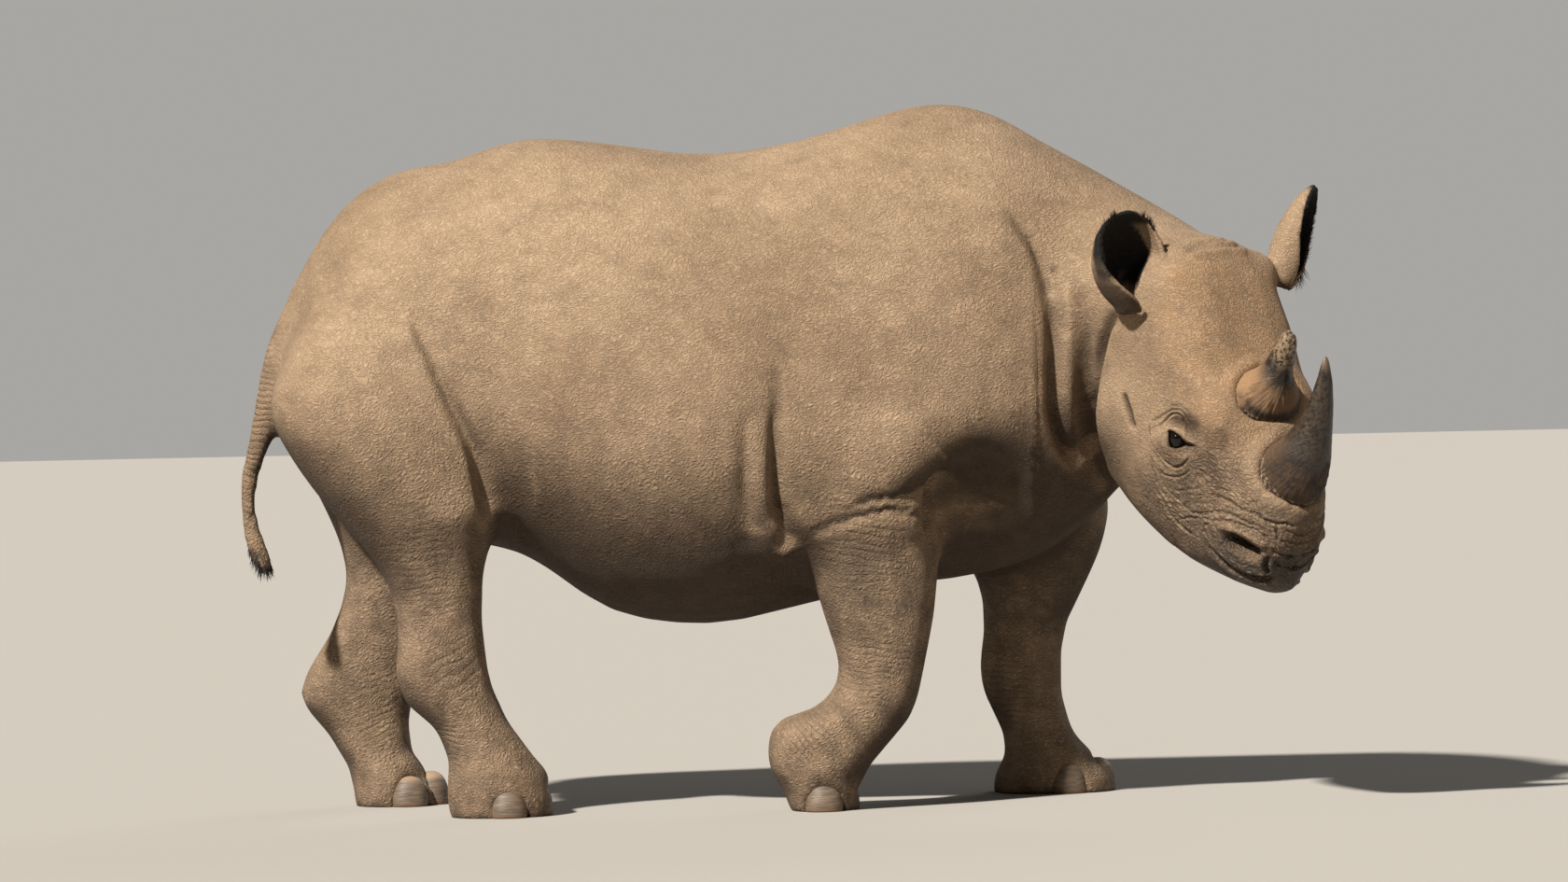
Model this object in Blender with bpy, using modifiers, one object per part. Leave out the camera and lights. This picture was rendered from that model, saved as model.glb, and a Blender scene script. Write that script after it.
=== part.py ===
"""Black rhinoceros, life size: a still model in mid-stride, its head low and turned to its right.

Units are metres. The animal faces +X, its right side faces -Y and the floor is z = 0.
The flesh is modelled whole, then parted by thin flat cuts into head, neck, trunk, legs and tail.
Ears, eyes, horns and nails are solids of their own, set in pockets with a fine gap all round.
"""
import math

import bmesh
import bpy
import numpy as np
from mathutils import Matrix, Vector


# ---- Driving dimensions -------------------------------------------------------------------
FLESH_TRIANGLES = 3650     # of the whole flesh before it is parted
GAP = 0.0004               # clearance between neighbouring solids
VOXEL = 0.013              # grain of the whole body before it is simplified
LEG_FULLNESS = 2.3         # squareness of the legs and feet in section
RING_POINTS = 36           # points round each section of the flesh

SHOULDER_HEIGHT = 1.553    # top of the hump over the shoulders
BELLY_HALF_WIDTH = 0.430   # widest part of the barrel

HEAD_ORIGIN = (0.940, -0.410, 1.228)   # the poll, between the ears
HEAD_TURN = math.radians(-47)          # to the animal's right
HEAD_DROP = math.radians(61)           # slope of the face below level
HEAD_TILT = math.radians(8)            # right cheek a little lower

EYE_RADIUS = 0.022
EYE_PLACE = (0.362, 0.149, -0.200)     # along, out and up from the poll, in the head's own axes

NAIL_SWELL = 0.012         # how far a nail stands out of its toe


# ---- Scene and collections ----------------------------------------------------------------
for old in list(bpy.data.objects):
    bpy.data.objects.remove(old, do_unlink=True)

parts = bpy.data.collections.new("black_rhinoceros")
cutters = bpy.data.collections.new("black_rhinoceros_cutters")
bpy.context.scene.collection.children.link(parts)
bpy.context.scene.collection.children.link(cutters)


def make_material(name, colour, roughness):
    material = bpy.data.materials.new(name)
    material.use_nodes = True
    shader = material.node_tree.nodes["Principled BSDF"]
    shader.inputs["Base Color"].default_value = (*colour, 1.0)
    shader.inputs["Roughness"].default_value = roughness
    return material


# ---- Mesh helpers -------------------------------------------------------------------------
def add_object(name, mesh, collection=cutters):
    thing = bpy.data.objects.new(name, mesh)
    collection.objects.link(thing)
    return thing


def hide_as_cutter(thing):
    thing.hide_render = True
    thing.display_type = "WIRE"
    return thing


def mesh_from(name, points, faces):
    mesh = bpy.data.meshes.new(name)
    mesh.from_pydata([tuple(p) for p in points], [], faces)
    mesh.validate()
    solid = bmesh.new()
    solid.from_mesh(mesh)
    bmesh.ops.recalc_face_normals(solid, faces=solid.faces)
    solid.to_mesh(mesh)
    solid.free()
    return mesh


def spread(rows, steps):
    """Catmull-Rom stations: each row of sizes flows smoothly into the next."""
    table = np.array(rows, dtype=float)
    padded = np.vstack([2 * table[0] - table[1], table, 2 * table[-1] - table[-2]])
    out = []
    for i in range(1, len(padded) - 2):
        a, b, c, d = padded[i - 1:i + 3]
        for k in range(steps):
            t = k / steps
            out.append(0.5 * (2 * b + (c - a) * t + (2 * a - 5 * b + 4 * c - d) * t ** 2
                              + (3 * b - a - 3 * c + d) * t ** 3))
    out.append(table[-1])
    return out


def section(centre, side, up, width, rise, drop, top_power=2.0, low_power=2.0, count=RING_POINTS):
    """One closed ring: an ellipse whose upper and lower halves have their own height and fullness."""
    centre, side, up = Vector(centre), Vector(side).normalized(), Vector(up).normalized()
    ring = []
    for i in range(count):
        angle = 2 * math.pi * i / count
        cosine, sine = math.cos(angle), math.sin(angle)
        power = top_power if sine >= 0 else low_power
        height = rise if sine >= 0 else drop
        across = width * math.copysign(abs(cosine) ** (2 / power), cosine)
        along = height * math.copysign(abs(sine) ** (2 / power), sine)
        ring.append(centre + side * across + up * along)
    return ring


def loft(name, rings):
    """Closed solid through rings of equal count, each end drawn to its middle."""
    count = len(rings[0])
    points = [p for ring in rings for p in ring]
    faces = []
    for r in range(len(rings) - 1):
        for i in range(count):
            j = (i + 1) % count
            faces.append((r * count + i, r * count + j, (r + 1) * count + j, (r + 1) * count + i))
    for ring, start in ((rings[0], 0), (rings[-1], (len(rings) - 1) * count)):
        middle = len(points)
        points.append(sum(ring, Vector()) / count)
        for i in range(count):
            faces.append((start + i, start + (i + 1) % count, middle))
    return add_object(name, mesh_from(name, points, faces))


def mass(name, centre, sizes, turn=(0.0, 0.0, 0.0)):
    """A muscle or pad: a stretched ball, turned by degrees about X, Y and Z."""
    ball = bmesh.new()
    bmesh.ops.create_uvsphere(ball, u_segments=24, v_segments=16, radius=1.0)
    mesh = bpy.data.meshes.new(name)
    spin = Matrix.Rotation(math.radians(turn[2]), 4, "Z")
    spin @= Matrix.Rotation(math.radians(turn[1]), 4, "Y")
    spin @= Matrix.Rotation(math.radians(turn[0]), 4, "X")
    place = Matrix.Translation(centre) @ spin @ Matrix.Diagonal((*sizes, 1.0))
    bmesh.ops.transform(ball, matrix=place, verts=ball.verts)
    ball.to_mesh(mesh)
    ball.free()
    return add_object(name, mesh)


def block(name, place, low, high, rise=0.0, lean=0.0):
    """A box in the axes of a placing matrix; its top may rise along y and its front lean along z."""
    corners = []
    for x in (low[0], high[0]):
        for y in (low[1], high[1]):
            for z in (low[2], high[2]):
                up = z + rise * y if z == high[2] else z
                along = x + lean * up if x == high[0] else x
                corners.append(place @ Vector((along, y, up)))
    faces = [(0, 1, 3, 2), (4, 6, 7, 5), (0, 4, 5, 1), (2, 3, 7, 6), (0, 2, 6, 4), (1, 5, 7, 3)]
    return hide_as_cutter(add_object(name, mesh_from(name, corners, faces)))


def baked(thing):
    """The object's mesh with its modifiers worked out."""
    graph = bpy.context.evaluated_depsgraph_get()
    return bpy.data.meshes.new_from_object(thing.evaluated_get(graph), depsgraph=graph)


def cut(thing, cutter, operation="DIFFERENCE"):
    """Boolean worked out at once, so that a long row of cuts stays quick."""
    tool = thing.modifiers.new("cut", "BOOLEAN")
    tool.operation = operation
    tool.solver = "EXACT"
    tool.object = cutter
    mesh = baked(thing)
    thing.modifiers.clear()
    old = thing.data
    thing.data = mesh
    bpy.data.meshes.remove(old)
    return thing


def joined(name, things):
    """One mesh object holding all the given ones, which are used up."""
    whole = bmesh.new()
    for thing in things:
        whole.from_mesh(thing.data)
        mesh = thing.data
        bpy.data.objects.remove(thing, do_unlink=True)
        bpy.data.meshes.remove(mesh)
    mesh = bpy.data.meshes.new(name)
    whole.to_mesh(mesh)
    whole.free()
    return add_object(name, mesh)


# ---- Trunk: x, top, widest level, bottom, half width, fullness above and below --------------
TRUNK = [
    (-1.125, 1.060, 0.930, 0.850, 0.080, 2.0, 2.0),    # back of the rump
    (-1.080, 1.200, 0.930, 0.740, 0.190, 2.0, 2.0),
    (-0.985, 1.345, 0.940, 0.660, 0.285, 2.0, 2.0),    # tail root
    (-0.860, 1.428, 0.950, 0.620, 0.335, 2.0, 2.0),
    (-0.740, 1.440, 0.950, 0.600, 0.352, 2.1, 2.0),    # dip before the tail
    (-0.590, 1.492, 0.930, 0.565, 0.368, 2.1, 2.1),    # point of the hips
    (-0.400, 1.478, 0.890, 0.440, 0.402, 2.1, 2.2),
    (-0.190, 1.447, 0.860, 0.406, BELLY_HALF_WIDTH, 2.1, 2.2),    # saddle and deepest belly
    (0.010, 1.467, 0.880, 0.440, 0.415, 2.1, 2.1),
    (0.180, 1.518, 0.930, 0.478, 0.382, 1.9, 2.0),
    (0.345, SHOULDER_HEIGHT + 0.004, 0.960, 0.492, 0.352, 1.8, 2.0),    # hump over the shoulders
    (0.500, 1.512, 0.970, 0.520, 0.322, 1.8, 2.0),
    (0.620, 1.400, 0.950, 0.580, 0.260, 2.0, 2.0),
    (0.700, 1.200, 0.900, 0.640, 0.150, 2.0, 2.0),     # front of the chest
]


def make_trunk():
    rings = []
    for x, top, widest, bottom, width, above, below in spread(TRUNK, 3):
        rings.append(section((x, 0, widest), (0, 1, 0), (0, 0, 1), width,
                             top - widest, widest - bottom, above, below))
    return loft("trunk_form", rings)


# ---- Neck: top x z, bottom x z, sideways place, half width, turn in degrees -----------------
NECK = [
    (0.430, 1.518, 0.400, 0.560, 0.000, 0.320, 0),
    (0.580, 1.456, 0.590, 0.590, -0.010, 0.285, 6),
    (0.685, 1.394, 0.690, 0.640, -0.050, 0.242, 20),
    (0.770, 1.334, 0.755, 0.720, -0.130, 0.208, 36),
    (0.845, 1.276, 0.800, 0.800, -0.235, 0.186, 46),
    (0.900, 1.226, 0.850, 0.870, -0.335, 0.174, 47),
    (0.940, 1.150, 0.890, 0.930, -0.400, 0.130, 47),
]
NECK_WIDEST = 0.62         # the widest level, as a share of the depth from below


def make_neck():
    rings = []
    for top_x, top_z, low_x, low_z, y, width, turn in spread(NECK, 3):
        top, low = Vector((top_x, y, top_z)), Vector((low_x, y, low_z))
        side = (math.sin(math.radians(turn)), math.cos(math.radians(turn)), 0)
        depth = (top - low).length
        rings.append(section(low.lerp(top, NECK_WIDEST), side, top - low, width,
                             depth * (1 - NECK_WIDEST), depth * NECK_WIDEST, 2.0, 1.5))
    return loft("neck_form", rings)


# ---- Head, in its own axes: x along the face from the poll, y to the left, z out of the brow --
HEAD_PLACE = Matrix.Translation(HEAD_ORIGIN)
HEAD_PLACE @= Matrix.Rotation(HEAD_TURN, 4, "Z")
HEAD_PLACE @= Matrix.Rotation(HEAD_DROP, 4, "Y")
HEAD_PLACE @= Matrix.Rotation(HEAD_TILT, 4, "X")

# x, brow, widest level, throat or jaw line, half width, fullness above and below
HEAD = [
    (-0.060, -0.070, -0.200, -0.360, 0.110, 2.0, 2.0),
    (0.000, -0.008, -0.170, -0.400, 0.152, 2.5, 2.1),     # poll
    (0.085, 0.000, -0.150, -0.460, 0.172, 2.7, 2.4),
    (0.180, -0.012, -0.150, -0.494, 0.180, 2.7, 2.7),     # angle of the jaw
    (0.280, -0.028, -0.160, -0.530, 0.178, 2.6, 2.8),
    (0.370, -0.036, -0.175, -0.532, 0.164, 2.5, 2.7),     # rear horn and eyes
    (0.460, -0.048, -0.190, -0.500, 0.142, 2.3, 2.5),
    (0.550, -0.055, -0.210, -0.438, 0.124, 2.2, 2.4),     # front horn
    (0.628, -0.080, -0.220, -0.362, 0.116, 2.3, 2.3),     # nostrils
    (0.684, -0.132, -0.235, -0.304, 0.088, 2.3, 2.2),
    (0.720, -0.200, -0.245, -0.278, 0.045, 2.0, 2.0),     # tip of the lip
]


def head_point(x, y, z):
    return HEAD_PLACE @ Vector((x, y, z))


def make_head():
    rings = []
    for x, brow, widest, jaw, width, above, below in spread(HEAD, 3):
        ring = section((x, 0, widest), (0, 1, 0), (0, 0, 1), width, brow - widest, widest - jaw,
                       above, below)
        rings.append([HEAD_PLACE @ p for p in ring])
    return loft("head_form", rings)


# ---- Legs: height, back edge, front edge, inner and outer reach from the middle plane --------
HIND_RIGHT = [
    (1.150, -1.020, -0.780, 0.080, 0.290),     # hip
    (1.030, -1.105, -0.770, 0.050, 0.345),
    (0.900, -1.145, -0.722, 0.035, 0.383),     # buttock
    (0.785, -1.092, -0.668, 0.040, 0.388),
    (0.690, -1.026, -0.645, 0.070, 0.375),     # stifle
    (0.600, -0.950, -0.660, 0.105, 0.350),
    (0.522, -0.892, -0.682, 0.130, 0.330),     # gaskin
    (0.412, -0.866, -0.686, 0.150, 0.318),
    (0.312, -0.874, -0.675, 0.155, 0.318),     # hock
    (0.252, -0.852, -0.656, 0.158, 0.315),
    (0.197, -0.792, -0.630, 0.160, 0.314),     # cannon
    (0.124, -0.762, -0.576, 0.152, 0.326),
    (0.060, -0.766, -0.542, 0.135, 0.343),     # toes
    (-0.030, -0.760, -0.540, 0.138, 0.340),
]
HIND_LEFT = [
    (1.150, -1.020, -0.780, 0.080, 0.290),
    (1.030, -1.105, -0.770, 0.050, 0.345),
    (0.900, -1.145, -0.750, 0.035, 0.383),
    (0.780, -1.100, -0.720, 0.040, 0.388),
    (0.672, -1.050, -0.705, 0.070, 0.375),
    (0.580, -1.012, -0.730, 0.105, 0.350),
    (0.498, -1.000, -0.770, 0.130, 0.330),
    (0.390, -1.036, -0.810, 0.150, 0.318),
    (0.298, -1.094, -0.848, 0.155, 0.318),
    (0.240, -1.106, -0.862, 0.158, 0.315),
    (0.175, -1.056, -0.872, 0.162, 0.312),
    (0.098, -1.008, -0.858, 0.152, 0.326),
    (0.040, -0.992, -0.806, 0.135, 0.343),
    (-0.030, -0.990, -0.786, 0.138, 0.340),
]
FORE_RIGHT = [
    (1.000, 0.080, 0.420, 0.100, 0.330),       # shoulder blade
    (0.860, -0.010, 0.430, 0.090, 0.382),
    (0.730, -0.010, 0.392, 0.090, 0.395),      # elbow
    (0.630, 0.005, 0.322, 0.110, 0.385),
    (0.538, 0.038, 0.322, 0.125, 0.365),       # forearm
    (0.432, 0.068, 0.308, 0.140, 0.345),
    (0.328, 0.099, 0.287, 0.150, 0.335),
    (0.262, 0.087, 0.272, 0.148, 0.337),       # wrist, bent back
    (0.219, 0.040, 0.258, 0.145, 0.340),
    (0.192, -0.040, 0.242, 0.140, 0.345),      # heel, lifted
    (0.134, -0.062, 0.192, 0.135, 0.350),
    (0.084, -0.052, 0.148, 0.135, 0.350),
    (0.034, -0.022, 0.130, 0.138, 0.347),      # toes
    (-0.030, 0.000, 0.124, 0.140, 0.345),
]
FORE_LEFT = [
    (1.000, 0.180, 0.520, 0.100, 0.330),
    (0.860, 0.240, 0.630, 0.090, 0.370),
    (0.720, 0.304, 0.705, 0.080, 0.375),
    (0.632, 0.344, 0.720, 0.085, 0.370),
    (0.550, 0.372, 0.698, 0.100, 0.360),
    (0.468, 0.421, 0.655, 0.125, 0.345),
    (0.366, 0.430, 0.606, 0.145, 0.330),
    (0.268, 0.418, 0.596, 0.150, 0.328),       # wrist
    (0.198, 0.440, 0.600, 0.152, 0.330),
    (0.136, 0.468, 0.618, 0.145, 0.338),
    (0.082, 0.474, 0.656, 0.130, 0.350),
    (0.035, 0.446, 0.708, 0.115, 0.362),
    (-0.030, 0.446, 0.712, 0.118, 0.358),
]


def make_leg(name, rows, side):
    """side is -1 for the animal's right and +1 for its left."""
    rings = []
    for z, back, front, inner, outer in spread(rows, 3):
        middle = ((back + front) / 2, side * (inner + outer) / 2, z)
        depth = (front - back) / 2
        rings.append(section(middle, (0, 1, 0), (1, 0, 0), (outer - inner) / 2, depth, depth,
                             LEG_FULLNESS, LEG_FULLNESS))
    return loft(name, rings)


# ---- Tail: x, y, z of its middle, half width, half thickness --------------------------------
TAIL = [
    (-0.950, 0.000, 1.270, 0.060, 0.060),
    (-1.060, 0.000, 1.160, 0.050, 0.045),
    (-1.124, -0.004, 1.040, 0.042, 0.034),
    (-1.152, -0.008, 0.930, 0.034, 0.030),
    (-1.178, -0.012, 0.830, 0.027, 0.025),
    (-1.206, -0.014, 0.740, 0.021, 0.020),
    (-1.208, -0.016, 0.670, 0.020, 0.019),
    (-1.193, -0.018, 0.600, 0.023, 0.021),
    (-1.174, -0.020, 0.552, 0.024, 0.021),
    (-1.178, -0.022, 0.520, 0.010, 0.009),
]


def make_tail():
    stations = spread(TAIL, 3)
    rings = []
    for k, (x, y, z, wide, thick) in enumerate(stations):
        ahead = stations[min(k + 1, len(stations) - 1)]
        behind = stations[max(k - 1, 0)]
        run = Vector(ahead[:3]) - Vector(behind[:3])
        side = Vector((0, 1, 0))
        rings.append(section((x, y, z), side, run.cross(side), wide, thick, thick, count=20))
    return loft("tail_form", rings)


# ---- Bosses and folds that stand well out of the plain sections ------------------------------
def head_mass(name, place, sizes):
    ball = mass(name, (0, 0, 0), sizes)
    ball.data.transform(HEAD_PLACE @ Matrix.Translation(place))
    return ball


def make_masses():
    made = [
        mass("nape_fold", (0.868, -0.315, 1.172), (0.050, 0.150, 0.088), (0, 0, -45)),
        mass("elbow_fold_right", (-0.035, -0.345, 0.690), (0.050, 0.045, 0.170), (0, -8, 0)),
        mass("elbow_fold_left", (0.250, 0.310, 0.690), (0.050, 0.045, 0.160), (0, 8, 0)),
        head_mass("rear_horn_boss", (0.370, 0.0, -0.070), (0.098, 0.092, 0.040)),
        head_mass("front_horn_boss", (0.550, 0.0, -0.100), (0.100, 0.094, 0.056)),
        head_mass("upper_lip", (0.692, 0.0, -0.232), (0.050, 0.058, 0.050)),
    ]
    for side in (-1, 1):
        made.append(head_mass("cheek", (0.220, side * 0.120, -0.330), (0.130, 0.070, 0.130)))
        made.append(head_mass("brow", (0.352, side * 0.112, -0.095), (0.085, 0.045, 0.050)))
        made.append(head_mass("ear_root", (0.055, side * 0.120, -0.075), (0.062, 0.058, 0.060)))
    return made


# ---- Muscles and hollows: soft swellings of the eased skin -----------------------------------
# centre, reach along x, y and z, and how far the skin moves out (or in, if negative)
BODY_SWELLS = [
    ((-0.92, -0.36, 0.98), (0.170, 0.200, 0.200), 0.016),    # haunch
    ((-0.92, 0.36, 0.98), (0.170, 0.200, 0.200), 0.016),
    ((-0.63, -0.38, 0.98), (0.090, 0.200, 0.220), -0.022),   # hollow of the flank
    ((-0.63, 0.38, 0.98), (0.090, 0.200, 0.220), -0.022),
    ((-0.72, -0.22, 1.38), (0.100, 0.120, 0.080), -0.012),   # beside the hip bones
    ((-0.72, 0.22, 1.38), (0.100, 0.120, 0.080), -0.012),
    ((0.32, -0.30, 1.12), (0.180, 0.200, 0.260), 0.020),     # shoulder blade
    ((0.36, 0.30, 1.12), (0.180, 0.200, 0.260), 0.020),
    ((0.15, -0.38, 0.77), (0.130, 0.160, 0.120), 0.018),     # upper arm
    ((0.40, 0.38, 0.77), (0.130, 0.160, 0.120), 0.018),
    ((0.00, -0.42, 0.86), (0.045, 0.200, 0.200), -0.020),    # crease behind the elbow
    ((0.24, 0.42, 0.86), (0.045, 0.200, 0.200), -0.020),
]
HEAD_SWELLS = [
    ((0.180, 0.000, 0.000), (0.110, 0.080, 0.100), -0.012),  # dish of the forehead
    ((0.366, 0.150, -0.198), (0.045, 0.080, 0.040), -0.006),     # eye socket
    ((0.480, 0.130, -0.180), (0.070, 0.080, 0.050), -0.014),     # hollow before the eye
    ((0.250, 0.165, -0.180), (0.070, 0.080, 0.070), -0.012),     # behind the eye
    ((0.620, 0.100, -0.165), (0.030, 0.060, 0.030), -0.012),     # nostril
]


def swell(points, normals, centre, reach, amount):
    offset = (points - np.array(centre)) / np.array(reach)
    strength = np.exp(-(offset ** 2).sum(axis=1))
    return points + normals * (amount * strength)[:, None]


def shape_muscles(mesh):
    count = len(mesh.vertices)
    points = np.empty(count * 3)
    mesh.vertices.foreach_get("co", points)
    points = points.reshape(-1, 3)
    normals = np.empty(count * 3)
    mesh.vertex_normals.foreach_get("vector", normals)
    normals = normals.reshape(-1, 3)
    for centre, reach, amount in BODY_SWELLS:
        points = swell(points, normals, centre, reach, amount)
    turn = np.array(HEAD_PLACE.to_3x3())
    origin = np.array(HEAD_ORIGIN)
    local = (points - origin) @ turn
    local_normals = normals @ turn
    for (x, y, z), reach, amount in HEAD_SWELLS:
        for side in ((-1, 1) if y else (1,)):
            local = swell(local, local_normals, (x, side * y, z), reach, amount)
    points = local @ turn.T + origin
    mesh.vertices.foreach_set("co", points.ravel())
    mesh.update()


# ---- The whole flesh: joined, made one closed skin, eased and simplified --------------------
def make_flesh():
    whole = joined("flesh", [
        make_trunk(),
        make_neck(),
        make_head(),
        make_leg("hind_right", HIND_RIGHT, -1),
        make_leg("hind_left", HIND_LEFT, 1),
        make_leg("fore_right", FORE_RIGHT, -1),
        make_leg("fore_left", FORE_LEFT, 1),
        make_tail(),
    ] + make_masses())
    grain = whole.modifiers.new("grain", "REMESH")
    grain.mode = "VOXEL"
    grain.voxel_size = VOXEL
    whole.data = baked(whole)
    whole.modifiers.clear()
    broad = whole.vertex_groups.new(name="broad")
    fine = whole.vertex_groups.new(name="fine")
    for vertex in whole.data.vertices:
        x, y, z = vertex.co
        body = min(1.0, max(0.0, (z - 0.50) / 0.12)) * min(1.0, max(0.0, (0.86 - x) / 0.12))
        body *= min(1.0, max(0.0, (x + 1.17) / 0.05))
        broad.add([vertex.index], body, "REPLACE")
        fine.add([vertex.index], 1.0, "REPLACE")
    for name, group, rounds in (("ease_body", "broad", 60), ("ease_all", "fine", 8)):
        ease = whole.modifiers.new(name, "SMOOTH")
        ease.factor = 0.5
        ease.iterations = rounds
        ease.vertex_group = group
    whole.data = baked(whole)
    whole.modifiers.clear()
    shape_muscles(whole.data)
    return whole


# ---- Parting the flesh ----------------------------------------------------------------------
def slope(point, about_x=0.0, about_y=0.0, about_z=0.0):
    """A placing matrix at a point, turned by degrees about Z, then Y, then X."""
    place = Matrix.Translation(point) @ Matrix.Rotation(math.radians(about_z), 4, "Z")
    place @= Matrix.Rotation(math.radians(about_y), 4, "Y")
    return place @ Matrix.Rotation(math.radians(about_x), 4, "X")


def part_off(rest, name, place, low, high, rise=0.0, lean=0.0):
    """Takes the flesh inside a box away as a piece of its own, leaving a fine gap behind it."""
    piece = add_object(name, rest.data.copy(), parts)
    cut(piece, block(name + "_bounds", place, low, high, rise, lean), "INTERSECT")
    wide_low = [c - GAP for c in low]
    wide_high = [c + GAP for c in high]
    cut(rest, block(name + "_kerf", place, wide_low, wide_high, rise, lean))
    return piece


def simplify(thing, triangles):
    tool = thing.modifiers.new("simplify", "DECIMATE")
    whole = sum(len(face.vertices) - 2 for face in thing.data.polygons)
    tool.ratio = min(1.0, triangles / whole)
    tool.use_collapse_triangulate = True
    old = thing.data
    thing.data = baked(thing)
    thing.modifiers.clear()
    bpy.data.meshes.remove(old)


def part_flesh(flesh):
    """Head, neck, tail in two lengths, and each leg in three, with the trunk as what is left."""
    simplify(flesh, FLESH_TRIANGLES)
    cut(flesh, block("below_floor", Matrix(), (-3, -3, -1), (3, 3, 0)))
    made = {}
    nape = HEAD_PLACE @ slope((-0.035, 0, 0), about_z=180)
    made["head"] = part_off(flesh, "head", nape, (-1.2, -0.205, -0.54), (0, 0.205, 0.30), lean=0.42)
    collar = slope((0.60, 0, 1.0), about_y=-12, about_z=-8)
    made["neck"] = part_off(flesh, "neck", collar, (0, -0.8, -0.33), (0.7, 0.6, 0.8))
    made["tail_tip"] = part_off(flesh, "tail_tip", Matrix.Translation((-1.2, 0, 0.62)),
                                (-0.1, -0.1, -0.2), (0.1, 0.1, 0.0))
    made["tail"] = part_off(flesh, "tail", slope((-1.085, 0, 1.06), about_y=9),
                            (-0.3, -0.045, -0.6), (0.0, 0.045, 0.13))
    legs = [
        # point at the groin or armpit, how far the box reaches back and ahead, rise of its top, lean
        ("hind_leg_right", (-0.60, -0.05, 0.62), -0.70, 0.02, 0.85, -0.30),
        ("hind_leg_left", (-0.64, 0.05, 0.62), -0.70, 0.02, 0.85, -0.30),
        ("foreleg_right", (0.16, -0.09, 0.60), -0.24, 0.26, 0.30, 0.0),
        ("foreleg_left", (0.52, 0.09, 0.60), -0.24, 0.30, 0.30, 0.0),
    ]
    for name, point, back, ahead, rise, lean in legs:
        if name.endswith("right"):
            low, high, rise = (back, -0.60, -0.90), (ahead, 0.0, 0.0), -rise
        else:
            low, high = (back, 0.0, -0.90), (ahead, 0.60, 0.0)
        made[name] = part_off(flesh, name, Matrix.Translation(point), low, high, rise, lean)
    joints = [
        ("hind_leg_right", -0.78, -0.23, 0.285, 0.105),
        ("hind_leg_left", -0.97, 0.23, 0.275, 0.090),
        ("foreleg_right", 0.10, -0.24, 0.275, 0.130),
        ("foreleg_left", 0.54, 0.24, 0.270, 0.105),
    ]
    for name, x, y, upper, lower in joints:
        side = name.split("_")[-1]
        short = "hind" if name.startswith("hind") else "fore"
        shank = part_off(made[name], f"{short}_shank_{side}", Matrix.Translation((x, y, 0)),
                         (-0.4, -0.2, -0.1), (0.4, 0.2, upper))
        foot = part_off(shank, f"{short}_foot_{side}", Matrix.Translation((x, y, 0)),
                        (-0.4, -0.2, -0.1), (0.4, 0.2, lower))
        made[shank.name] = shank
        made[foot.name] = foot
    flesh.name = "trunk"
    cutters.objects.unlink(flesh)
    parts.objects.link(flesh)
    made["trunk"] = flesh
    return made


body = part_flesh(make_flesh())


# ---- Horns: each leans back along its own curve ---------------------------------------------
# height along the horn, lean back, half length and half width of the section
FRONT_HORN = [
    (-0.030, 0.000, 0.072, 0.074),
    (0.008, 0.000, 0.078, 0.080),
    (0.045, 0.004, 0.072, 0.070),
    (0.088, 0.017, 0.059, 0.055),
    (0.132, 0.040, 0.045, 0.040),
    (0.178, 0.072, 0.033, 0.029),
    (0.217, 0.108, 0.023, 0.021),
    (0.244, 0.140, 0.013, 0.012),
    (0.255, 0.155, 0.004, 0.004),
]
REAR_HORN = [
    (-0.028, 0.000, 0.062, 0.080),
    (0.006, 0.000, 0.066, 0.087),
    (0.030, 0.004, 0.058, 0.072),
    (0.055, 0.012, 0.046, 0.048),
    (0.085, 0.032, 0.033, 0.030),
    (0.120, 0.051, 0.027, 0.025),
    (0.148, 0.066, 0.021, 0.019),
    (0.157, 0.070, 0.011, 0.010),
]
FRONT_HORN_BASE = (0.539, -0.070)      # along the face and out of it
REAR_HORN_BASE = (0.358, -0.050)


def make_horn(name, rows, base, spare=0.0, collection=parts):
    rings = []
    stations = spread(rows, 1)
    for rise, lean, along, across in stations:
        if rise == stations[0][0]:
            rise -= spare
        middle = (base[0] - lean, 0, base[1] + rise)
        ring = section(middle, (0, 1, 0), (1, 0, 0), across + spare, along + spare, along + spare,
                       count=12)
        rings.append([HEAD_PLACE @ p for p in ring])
    horn = loft(name, rings)
    if collection is not cutters:
        cutters.objects.unlink(horn)
        collection.objects.link(horn)
    return horn


for name, rows, base in (("front_horn", FRONT_HORN, FRONT_HORN_BASE),
                         ("rear_horn", REAR_HORN, REAR_HORN_BASE)):
    body[name] = make_horn(name, rows, base)
    pocket = hide_as_cutter(make_horn(name + "_pocket", rows, base, GAP, cutters))
    cut(body["head"], pocket)


# ---- Eyes -----------------------------------------------------------------------------------
def make_ball(name, place, sizes, across, down, collection):
    ball = bmesh.new()
    bmesh.ops.create_uvsphere(ball, u_segments=across, v_segments=down, radius=1.0)
    bmesh.ops.transform(ball, matrix=place @ Matrix.Diagonal((*sizes, 1.0)), verts=ball.verts)
    mesh = bpy.data.meshes.new(name)
    ball.to_mesh(mesh)
    ball.free()
    return add_object(name, mesh, collection)


for side, word in ((-1, "right"), (1, "left")):
    along, out, up = EYE_PLACE
    place = HEAD_PLACE @ Matrix.Translation((along, side * out, up))
    name = "eye_" + word
    body[name] = make_ball(name, place, [EYE_RADIUS] * 3, 10, 6, parts)
    pocket = make_ball(name + "_pocket", place, [EYE_RADIUS + GAP] * 3, 10, 6, cutters)
    cut(body["head"], hide_as_cutter(pocket))


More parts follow.
